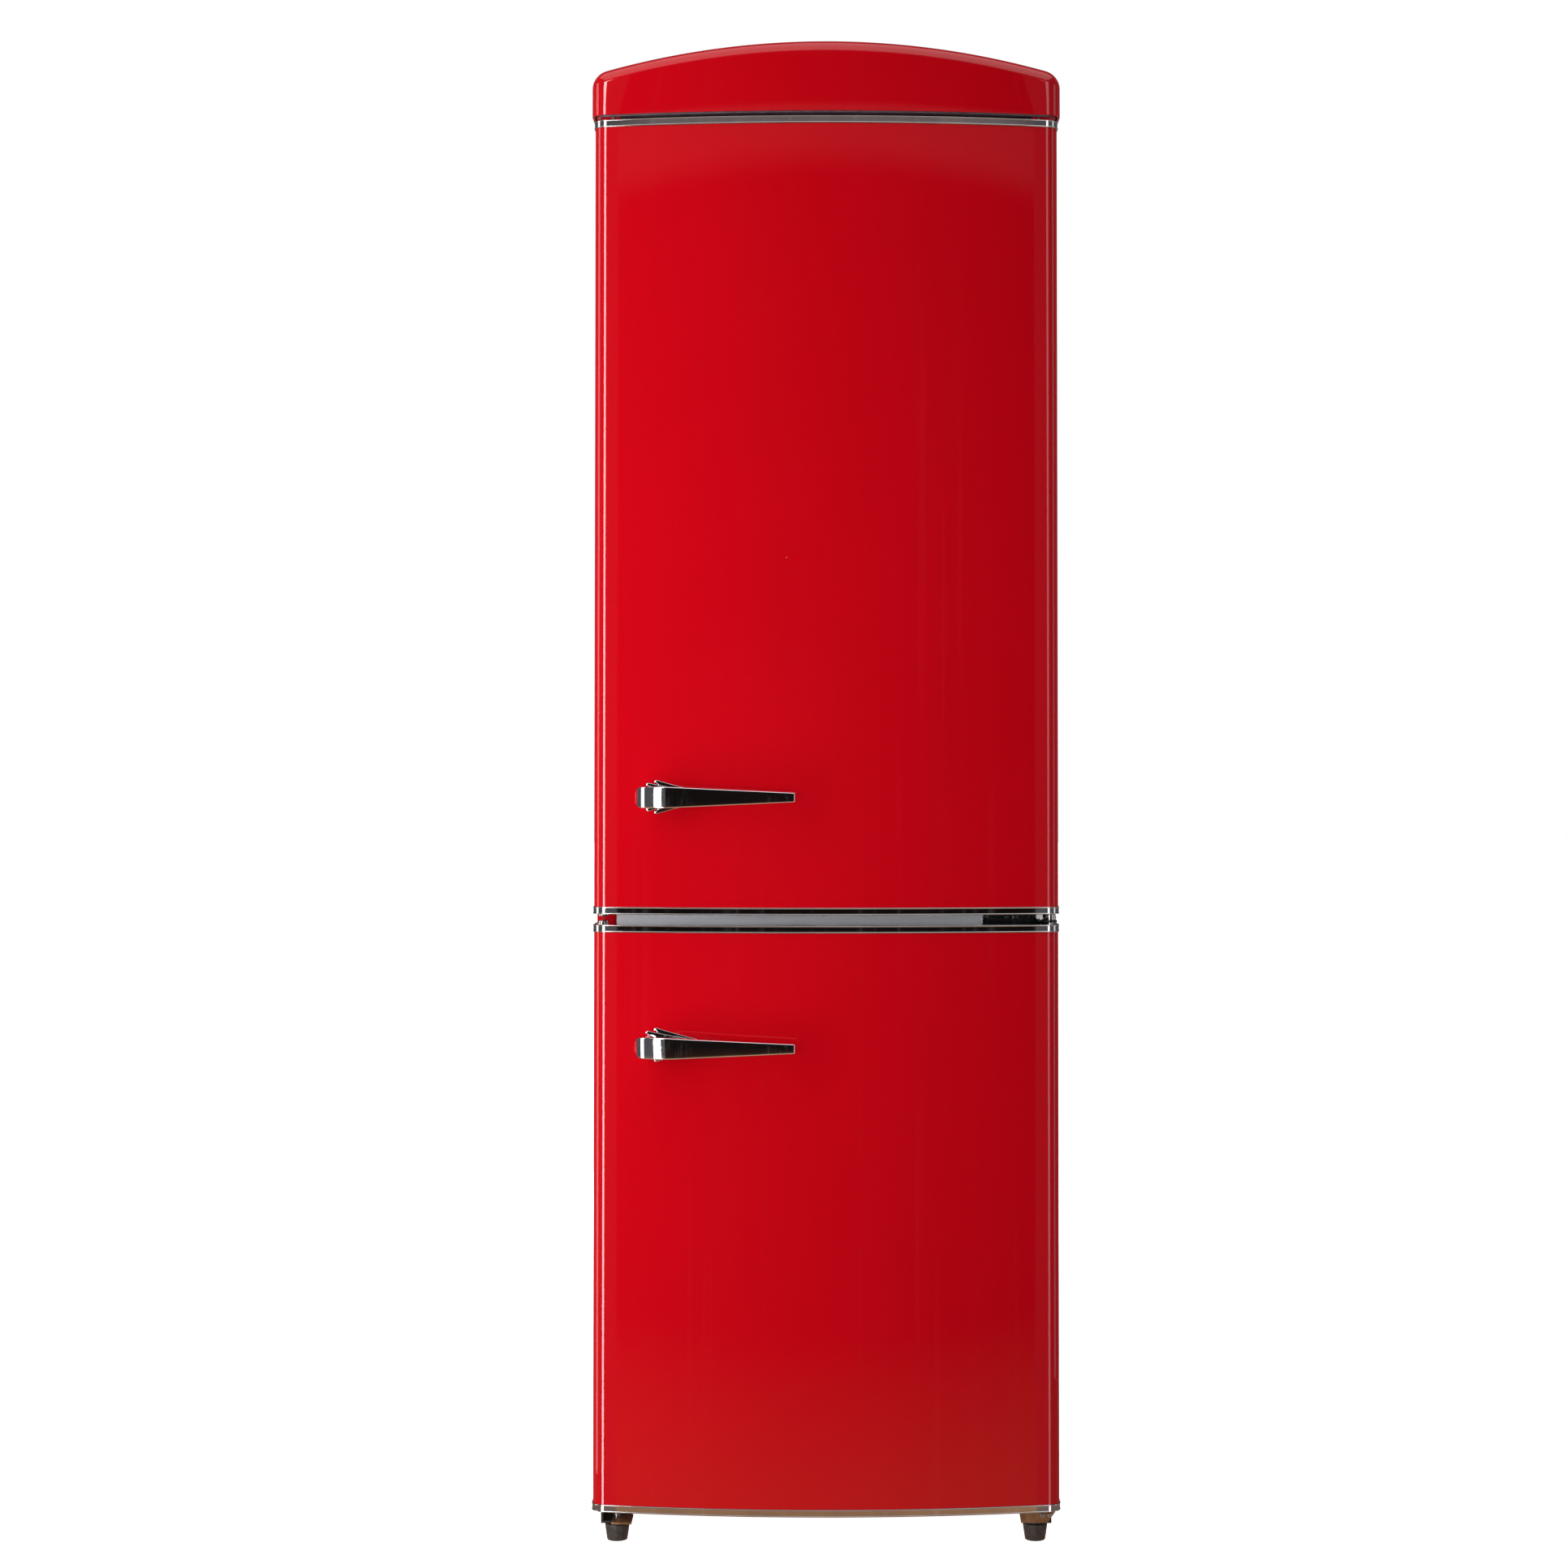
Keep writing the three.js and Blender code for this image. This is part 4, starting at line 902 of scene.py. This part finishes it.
pin = rod((hinge_x, pin_y, mid_z), 4 * mm, 29 * mm, sides=32)
barrel = soften(rod((hinge_x, pin_y, mid_z + 1.2 * mm), 6.4 * mm, 7.4 * mm, sides=40), 0.8, 3)
collar = soften(rod((hinge_x, pin_y, mid_z + 0.6 * mm), 7.4 * mm, 1.6 * mm, sides=40), 0.5, 2)
nut_place = (hinge_x - 12.5 * mm, pin_y + 2 * mm, mid_z - 0.6 * mm)
nut = soften(rod(nut_place, 3.6 * mm, 3.4 * mm, sides=6), 0.4, 2)
dashes = []
for z in (-5.2, -1.35, 2.5):
    dash_high = (low.x + 0.3 * mm, face_y - 0.4 * mm, mid_z + (z + 2.7) * mm)
    dashes.append(soften(block((low.x - 1.3 * mm, face_y - 3 * mm, mid_z + z * mm), dash_high), 0.3, 2))
finish(join(pin, barrel, collar, nut, *dashes), "middle_hinge_barrel", chrome, "cabinet", "chrome")
head = screw_template(2.1 * mm)
spots = [(208.5 * mm, face_y - 3.2 * mm, mid_z + 0.4 * mm), (234 * mm, face_y - 3.2 * mm, mid_z - 0.4 * mm)]
finish(place_copies(head, spots, "front"), "middle_hinge_screws", zinc_stem, "cabinet", "zinc_steel")

# White acetal: clean white with a soft gloss.
acetal, tree, shader = start_material("white_acetal", "#f2f2ee", 0.35)
shade(tree, shader, pattern(tree, 10), "#ecece7", "#f7f7f4")
rough(tree, shader, pattern(tree, 4), 0.28, 0.42)
low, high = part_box("door_stop")
body = soften(block(low, high), 1.0, 3)
finish(body, "upper_door_stop", acetal, "upper_door", "white_plastic", "door_stop")
for door in ("upper_door", "lower_door"):
    dress(acetal, f"{door}_top_bush", f"{door}_bottom_bush")


# --- Foot brackets ------------------------------------------------------------------------------
# Pressed steel plates over the front feet, yellow-passivated: the right one is a deep tapered lug
# that also carries the lower pin, held by two hexagon-head screws, the left one a shallow strap.
# Yellow-passivated zinc: a dull bronze that wanders in hue.
bronze, tree, shader = start_material("yellow_passivated_zinc", "#8d6c50", 0.4, Metallic=0.55)
shade(tree, shader, pattern(tree, 9), "#7c5c43", "#9c7a5a")
rough(tree, shader, pattern(tree, 4), 0.32, 0.5)
bracket_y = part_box("bottom_hinge")[0].y + 19 * mm
low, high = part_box("foot_right")
foot_x, foot_y = (low.x + high.x) / 2, (low.y + high.y) / 2
lug = [(-23, 45), (27, 45), (14, 27), (-20, 27)]
rings = [[(foot_x + x * mm, bracket_y + dy * mm, z * mm) for x, z in lug] for dy in (0, 2.5)]
plate = soften(sweep(rings), 0.7, 2, 40)
washer = soften(rod((foot_x, foot_y, 25.2 * mm), 10.5 * mm, 1.6 * mm), 0.4, 2)
finish(join(plate, washer), "foot_bracket_right", bronze, "cabinet", "zinc_steel")
strap = soften(block((-276 * mm, bracket_y, 25 * mm), (-250 * mm, foot_y + 14 * mm, 28 * mm)), 0.7, 2)
washer = soften(rod((-foot_x, foot_y, 25.2 * mm), 10.5 * mm, 1.6 * mm), 0.4, 2)
finish(join(strap, washer), "foot_bracket_left", bronze, "cabinet", "zinc_steel")
head = screw_template(3 * mm)
spots = [(x * mm, bracket_y + 0.2 * mm, 37 * mm) for x in (277.5, 287)]
finish(place_copies(head, spots, "front"), "bracket_screws", zinc_stem, "cabinet", "zinc_steel")


# --- Back: condenser ----------------------------------------------------------------------------
# Bundy tube bent in fourteen passes, with steel wires spot-welded up both its sides, all dipped in
# black enamel, and stood off the back by folded straps.
low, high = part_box("condenser_coil")
PASSES = 14
TUBE = 3 * mm
STRAP_END = 15 * mm
tube_y = high.y - TUBE
first, last = low.z + STRAP_END, high.z - STRAP_END
pitch = (last - first) / (PASSES - 1)
bend = pitch / 2
reach = high.x - TUBE - bend


def tube_piece(points, radius, sides=3):
    """A round tube through a list of points, made a mesh with closed ends."""
    deselect()
    data = bpy.data.curves.new("tube", "CURVE")
    data.dimensions = "3D"
    line = data.splines.new("POLY")
    line.points.add(len(points) - 1)
    for spot, point in zip(line.points, points):
        spot.co = (*point, 1)
    data.bevel_depth = radius
    data.bevel_resolution = sides
    data.use_fill_caps = True
    made = bpy.data.objects.new("tube", data)
    bpy.context.scene.collection.objects.link(made)
    made.select_set(True)
    bpy.context.view_layer.objects.active = made
    bpy.ops.object.convert(target="MESH")
    return bpy.context.object


route = []
for i in range(PASSES):
    z = first + i * pitch
    side = 1 if i % 2 == 0 else -1
    route += [(-side * reach, tube_y, z), (side * reach, tube_y, z)]
    if i + 1 < PASSES:
        for k in range(1, 12):
            a = math.pi * k / 12
            route.append((side * (reach + bend * math.sin(a)), tube_y, z + bend * (1 - math.cos(a))))
coil = tube_piece(route, TUBE)
# Dipped enamel: thick glossy black, pooled a little unevenly.
dipped, tree, shader = start_material("dipped_black_enamel", "#131416", 0.28)
shade(tree, shader, pattern(tree, 20), "#0f1012", "#1c1e20")
rough(tree, shader, pattern(tree, 6), 0.2, 0.4)
bump(tree, shader, pattern(tree, 4), 0.08, 0.4)
straps = []
back_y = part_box("back_panel")[1].y
STRAP_PLACE = 0.7  # of the way from the middle to the bends
for sign in (-1, 1):
    x = sign * STRAP_PLACE * reach
    straps.append(block((x - 5 * mm, tube_y - 4 * mm, low.z), (x + 5 * mm, tube_y - 1 * mm, high.z)))
    for z in (low.z + 7 * mm, high.z - 7 * mm):
        foot_low = (x - 5 * mm, back_y + 0.3 * mm, z - 6 * mm)
        straps.append(block(foot_low, (x + 5 * mm, tube_y - 2 * mm, z + 6 * mm)))
finish(join(coil, *straps), "condenser_tube", dipped, "cabinet", "black_steel", "condenser_coil")

WIRE = 0.8 * mm
WIRE_PITCH = 12 * mm
wires = []
count = int(2 * reach / WIRE_PITCH)
for i in range(count + 1):
    x = -reach + 2 * reach * i / count
    y = tube_y + (TUBE - WIRE * 0.8) * (1 if i % 2 else -1)
    wires.append(rod((x, y, (first + last) / 2), WIRE, last - first + 14 * mm, sides=6))
finish(join(*wires), "condenser_wires", dipped, "cabinet", "black_steel")

head = screw_template(4 * mm)
strap_z = (low.z - 7 * mm, high.z + 8 * mm)
spots = [(sign * STRAP_PLACE * reach, back_y, z) for sign in (-1, 1) for z in strap_z]
panel_low, panel_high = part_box("back_panel")
edge_z = [panel_low.z + 260 * mm, 1050 * mm, panel_high.z - 25 * mm]
spots += [(sign * 285 * mm, back_y, z) for sign in (-1, 1) for z in edge_z]
spots += [(x * mm, back_y, panel_high.z - 12 * mm) for x in (-150, 0, 150)]
finish(place_copies(head, spots, "back"), "back_panel_screws", zinc_stem, "cabinet", "zinc_steel")


# --- Compressor ---------------------------------------------------------------------------------
# A hermetic compressor: two drawn steel bells welded round the middle, in black paint, on a foot
# plate that stands on four rubber grommets.
low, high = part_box("compressor")
pot_x, pot_y = (low.x + high.x) / 2, (low.y + high.y) / 2
base_z = low.z + 3.7 * mm
# The pot's half outline, from its foot to the crown: radius and height.
bell = [(44, 0), (56, 4), (64, 14), (69, 26), (70, 36), (70, 87), (73, 89), (73, 95), (70, 97)]
bell += [(69.5, 112), (67, 124), (60, 136), (50, 144), (36, 150), (20, 154)]
SEGMENTS = 48
circle = [2 * math.pi * k / SEGMENTS for k in range(SEGMENTS)]
rings = []
for radius, z in bell:
    wide = radius * mm
    rings.append([(pot_x + wide * math.cos(a), pot_y + wide * math.sin(a), base_z + z * mm) for a in circle])
pot = sweep(rings)
plate = block((low.x, pot_y - 55 * mm, low.z), (high.x, pot_y + 55 * mm, base_z + 1 * mm))
soften(plate, 1.2, 2)
finish(join(pot, plate), "compressor_shell", dipped, "cabinet", "black_steel", "compressor", angle=40)
# Nitrile rubber: a dead matt black.
rubber, tree, shader = start_material("black_nitrile_rubber", "#1f1f20", 0.8)
shade(tree, shader, pattern(tree, 5), "#1a1a1b", "#282829")
bump(tree, shader, pattern(tree, 1), 0.05, 0.5)
mounts = []
for dx in (-80, 80):
    for dy in (-42, 42):
        for z, radius in ((1.5, 9), (4.6, 7), (7, 9)):
            spot = (pot_x + dx * mm, pot_y + dy * mm, base_z + z * mm)
            mounts.append(soften(rod(spot, radius * mm, 3 * mm), 0.8, 2))
finish(join(*mounts), "compressor_mounts", rubber, "cabinet", "black_plastic")

low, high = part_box("terminal_cover")
cover = soften(block(low, (high.x, low.y + 56 * mm, high.z)), 3, 4)
pick(lambda c, n: n.x > 0.9)
bpy.ops.mesh.inset(thickness=5 * mm)
push((-1.2 * mm, 0, 0))
deselect()
gland_z = low.z + 20 * mm
gland_x = (low.x + high.x) / 2
gland = soften(rod((gland_x, low.y + 63 * mm, gland_z), 8 * mm, 17 * mm, "y"), 1, 2)
pick(lambda c, n: n.y > 0.9)
bpy.ops.mesh.inset(thickness=3.5 * mm)
push((0, -13 * mm, 0))
deselect()
grip = [rod((gland_x, low.y + (60 + 3 * i) * mm, gland_z), 8.8 * mm, 1.4 * mm, "y") for i in range(4)]
box = join(cover, gland, *grip)
finish(box, "compressor_terminal_box", black_plastic, "cabinet", "black_plastic", "terminal_cover")

# Drawn copper tube: bright orange-brown, dulled in patches by air.
copper, tree, shader = start_material("drawn_copper_tube", "#b8693f", 0.28, Metallic=1.0)
shade(tree, shader, pattern(tree, 18), "#9c5430", "#c8794b")
rough(tree, shader, pattern(tree, 8), 0.2, 0.42)
low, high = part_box("discharge_pipe")
pipe_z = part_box("compressor")[0].z + 63.7 * mm
BEND = 20 * mm
corners = [
    Vector((pot_x - 69 * mm, pot_y, pipe_z)),
    Vector((low.x + TUBE, pot_y, pipe_z)),
    Vector((low.x + TUBE, tube_y, pipe_z)),
    Vector((low.x + TUBE, tube_y, first - TUBE)),
]
route = [corners[0]]
for before, corner, after in zip(corners, corners[1:], corners[2:]):
    a = corner + (before - corner).normalized() * BEND
    b = corner + (after - corner).normalized() * BEND
    for k in range(9):
        t = k / 8
        route.append((1 - t) ** 2 * a + 2 * t * (1 - t) * corner + t**2 * b)
route.append(corners[-1])
finish(tube_piece(route, TUBE), "discharge_tube", copper, "cabinet", "copper_tube", "discharge_pipe")


# --- Liners and gaskets -------------------------------------------------------------------------
# The inner walls are vacuum-formed from white polystyrene sheet; the doors' inner panels are the
# same. A magnetic PVC gasket is pressed into a groove round each door's back.
# Vacuum-formed polystyrene: clean white, slightly wavy, with a soft gloss.
polystyrene, tree, shader = start_material("vacuum_formed_polystyrene", "#eff0ee", 0.3, Coat_Weight=0.1)
shade(tree, shader, pattern(tree, 120), "#eaebe9", "#f4f4f2")
rough(tree, shader, pattern(tree, 60, 1), 0.34, 0.4)
bump(tree, shader, pattern(tree, 120, 0), 0.01, 0.4)
dress(polystyrene, "fridge_liner", "freezer_liner", "upper_door_liner", "lower_door_liner")

# Soft PVC: matt off-white that picks up a little grey.
pvc, tree, shader = start_material("soft_grey_pvc", "#d5d6d2", 0.6)
shade(tree, shader, pattern(tree, 15), "#cbccc8", "#dedfdb")
bump(tree, shader, pattern(tree, 2), 0.05, 0.4)

# The gasket's three lips in millimetres: how far in from its edge, width, and how much shorter.
LIPS = [(0, 6, 0), (7, 3.4, 1), (11, 3, 2.5)]
for door in ("upper_door", "lower_door"):
    low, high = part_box(f"{door}_gasket")
    lips = []
    for inset, wide, short in LIPS:
        outer, inner = (
            [
                (low.x + a, low.z + a),
                (high.x - a, low.z + a),
                (high.x - a, high.z - a),
                (low.x + a, high.z - a),
            ]
            for a in (inset * mm, (inset + wide) * mm)
        )
        for i in range(4):
            j = (i + 1) % 4
            ends = [outer[i], outer[j], inner[j], inner[i]]
            rings = [[(x, y, z) for x, z in ends] for y in (low.y, high.y - short * mm)]
            lips.append(soften(sweep(rings), 0.8, 2, 60))
    finish(join(*lips), f"{door}_seal", pvc, door, "gasket_rubber", f"{door}_gasket")


# --- Shelves ------------------------------------------------------------------------------------
# Toughened glass plates on the liners' ribs, each with a white plastic strip clipped on its front
# edge and a shallow one along its back.
# Toughened glass: clear, faintly green, with a trace of smears.
glass, tree, shader = start_material("toughened_glass", "#dff0ea", 0.02, Transmission_Weight=1.0, IOR=1.5)
shade(tree, shader, pattern(tree, 200), "#d8ece5", "#e6f5f0")
rough(tree, shader, pattern(tree, 60), 0.01, 0.05)
shelves = [n for n in nodes if n.startswith(("glass_shelf", "freezer_shelf", "crisper_cover"))]
dress(glass, *shelves)
for node in shelves:
    low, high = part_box(node)
    # A freezer drawer slides close over its shelf, so the strip there ends level with the glass.
    lip = 0 if node.startswith("freezer") else 2 * mm
    nose_low = (low.x + 0.3 * mm, low.y - 4 * mm, low.z - 4 * mm)
    nose = block(nose_low, (high.x - 0.3 * mm, low.y, high.z + lip))
    heel = block((low.x + 3 * mm, high.y - 8 * mm, high.z), (high.x - 3 * mm, high.y, high.z + 12 * mm))
    strips = [soften(nose, 1.5, 3), soften(heel, 1.2, 2)]
    finish(join(*strips), f"{node}_strips", acetal, "cabinet", "white_plastic")


# --- Trays, drawers and balconies ---------------------------------------------------------------
# Injection-moulded clear polystyrene, with drafted walls, a rolled rim and a recessed front that
# serves as the grip.
# Clear polystyrene: faintly blue, with a satin inside from the mould.
clear, tree, shader = start_material(
    "clear_moulded_polystyrene", "#e6eef4", 0.08, Transmission_Weight=0.92, IOR=1.45
)
shade(tree, shader, pattern(tree, 80), "#dfe9f1", "#edf3f7")
rough(tree, shader, pattern(tree, 20), 0.05, 0.2)


RIM = 3.6 * mm


def moulded_tray(node, wall_mm, radius_mm, front=True):
    """An open box with drafted walls, rounded corners, a recessed front and a rim."""
    low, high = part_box(node)
    under_rim = Vector((1.6 * mm, 1.6 * mm, 0))
    made = block(low + under_rim, high - under_rim)
    pick(lambda c, n: n.z < -0.9)
    bpy.ops.transform.resize(value=(0.975, 0.97, 1), center_override=(low + high) / 2)
    if front:
        pick(lambda c, n: n.y < -0.9)
        bpy.ops.mesh.inset(thickness=min(14 * mm, (high.z - low.z) * 0.22))
        push((0, 3.5 * mm, 0), (0.98, 1, 0.96))
    pick(lambda c, n: n.z > 0.9)
    bpy.ops.mesh.delete(type="FACE")
    bpy.ops.object.mode_set(mode="OBJECT")
    soften(made, radius_mm, 3, 30)
    modify(made, "SOLIDIFY", thickness=wall_mm * mm, offset=-1)
    rim = []
    for x0, x1, y0, y1 in (
        (low.x, high.x, low.y, low.y + RIM),
        (low.x, high.x, high.y - RIM, high.y),
        (low.x, low.x + RIM, low.y + RIM, high.y - RIM),
        (high.x - RIM, high.x, low.y + RIM, high.y - RIM),
    ):
        rim.append(soften(block((x0, y0, high.z - 7 * mm), (x1, y1, high.z)), 0.9, 2))
    return join(made, *rim)


drawers = ["crisper_left", "crisper_right"]
drawers += [f"freezer_drawer_{bay}" for bay in ("bottom", "middle", "top")]
for node in drawers:
    made = moulded_tray(node, 2.2, 6)
    finish(made, f"{node}_moulding", clear, node, "clear_plastic", node)
    low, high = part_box(node)
    x = (low.x + high.x) / 2
    half = (high.x - low.x) * 0.28
    grip_low = (x - half, low.y + 0.4 * mm, high.z - 26 * mm)
    grip = soften(block(grip_low, (x + half, low.y + 4.5 * mm, high.z - 12 * mm)), 1.6, 3)
    finish(grip, f"{node}_grip", acetal, node, "white_plastic")
for node in ("balcony_1", "balcony_2", "balcony_3"):
    made = moulded_tray(node, 2.2, 6, front=False)
    finish(made, f"{node}_moulding", clear, "upper_door", "clear_plastic", node)
    low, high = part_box(node)
    rail_low = (low.x + 4 * mm, high.y - 5.5 * mm, high.z - 14 * mm)
    rail = soften(block(rail_low, (high.x - 4 * mm, high.y - 0.2 * mm, high.z - 8 * mm)), 1.5, 3)
    finish(rail, f"{node}_rail", acetal, "upper_door", "white_plastic")
made = moulded_tray("evaporation_tray", 2.2, 4, front=False)
slot = "black_plastic"
finish(made, "evaporation_tray_moulding", black_plastic, "cabinet", slot, "evaporation_tray")


# --- Control housing ----------------------------------------------------------------------------
# A white moulded housing under the fridge's ceiling, with the thermostat knob and its scale, the
# lamp behind a ribbed lens, and the door's light switch at its right end.
dress(acetal, "control_housing", "light_switch")
low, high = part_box("thermostat_knob")
knob_x, knob_z = (low.x + high.x) / 2, (low.z + high.z) / 2
radius = (high.x - low.x) / 2
disc_back = high.y - 14.3 * mm
disc = rod((knob_x, disc_back - 7 * mm, knob_z), radius, 14 * mm, "y", 48)
soften(disc, 1.6, 3)
ridge_high = (knob_x + 2.5 * mm, disc_back - 12 * mm, knob_z + 18 * mm)
ridge = soften(block((knob_x - 2.5 * mm, low.y, knob_z - 18 * mm), ridge_high), 1.2, 3)
mark_high = (knob_x + 0.7 * mm, low.y + 0.6 * mm, knob_z + 17 * mm)
mark = soften(block((knob_x - 0.7 * mm, low.y - 0.3 * mm, knob_z + 9 * mm), mark_high), 0.2, 1)
stem = rod((knob_x, disc_back + 6 * mm, knob_z), 3 * mm, 15 * mm, "y", 20)
dial = join(disc, ridge, stem)
finish(dial, "thermostat_dial", acetal, "thermostat_knob", "white_plastic", "thermostat_knob")
finish(mark, "thermostat_pointer", black_plastic, "thermostat_knob", "black_plastic")
# The scale is nine printed dots round the knob, each larger than the one before.
SCALE_RADIUS = 21.5 * mm
ticks = []
for i in range(9):
    angle = math.radians(-135 + 270 * i / 8)
    across, up = SCALE_RADIUS * math.sin(angle), SCALE_RADIUS * math.cos(angle)
    spot = (knob_x + across, disc_back + 0.2 * mm, knob_z + up)
    ticks.append(rod(spot, (0.6 + 0.09 * i) * mm, 0.6 * mm, "y", 12))
finish(join(*ticks), "thermostat_scale", black_plastic, "cabinet", "black_plastic")

low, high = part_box("lamp_lens")
lens = soften(block((low.x, low.y, low.z + 3 * mm), high), 1.5, 3)
ribs = []
RIBS = 24
for i in range(RIBS):
    x = low.x + 4 * mm + (high.x - low.x - 8 * mm) * (i + 0.5) / RIBS
    rib_high = (x + 1.6 * mm, high.y - 4 * mm, low.z + 3.5 * mm)
    ribs.append(soften(block((x - 1.6 * mm, low.y + 4 * mm, low.z), rib_high), 1.2, 2))
finish(join(lens, *ribs), "lamp_lens_ribbed", clear, "cabinet", "clear_plastic", "lamp_lens")
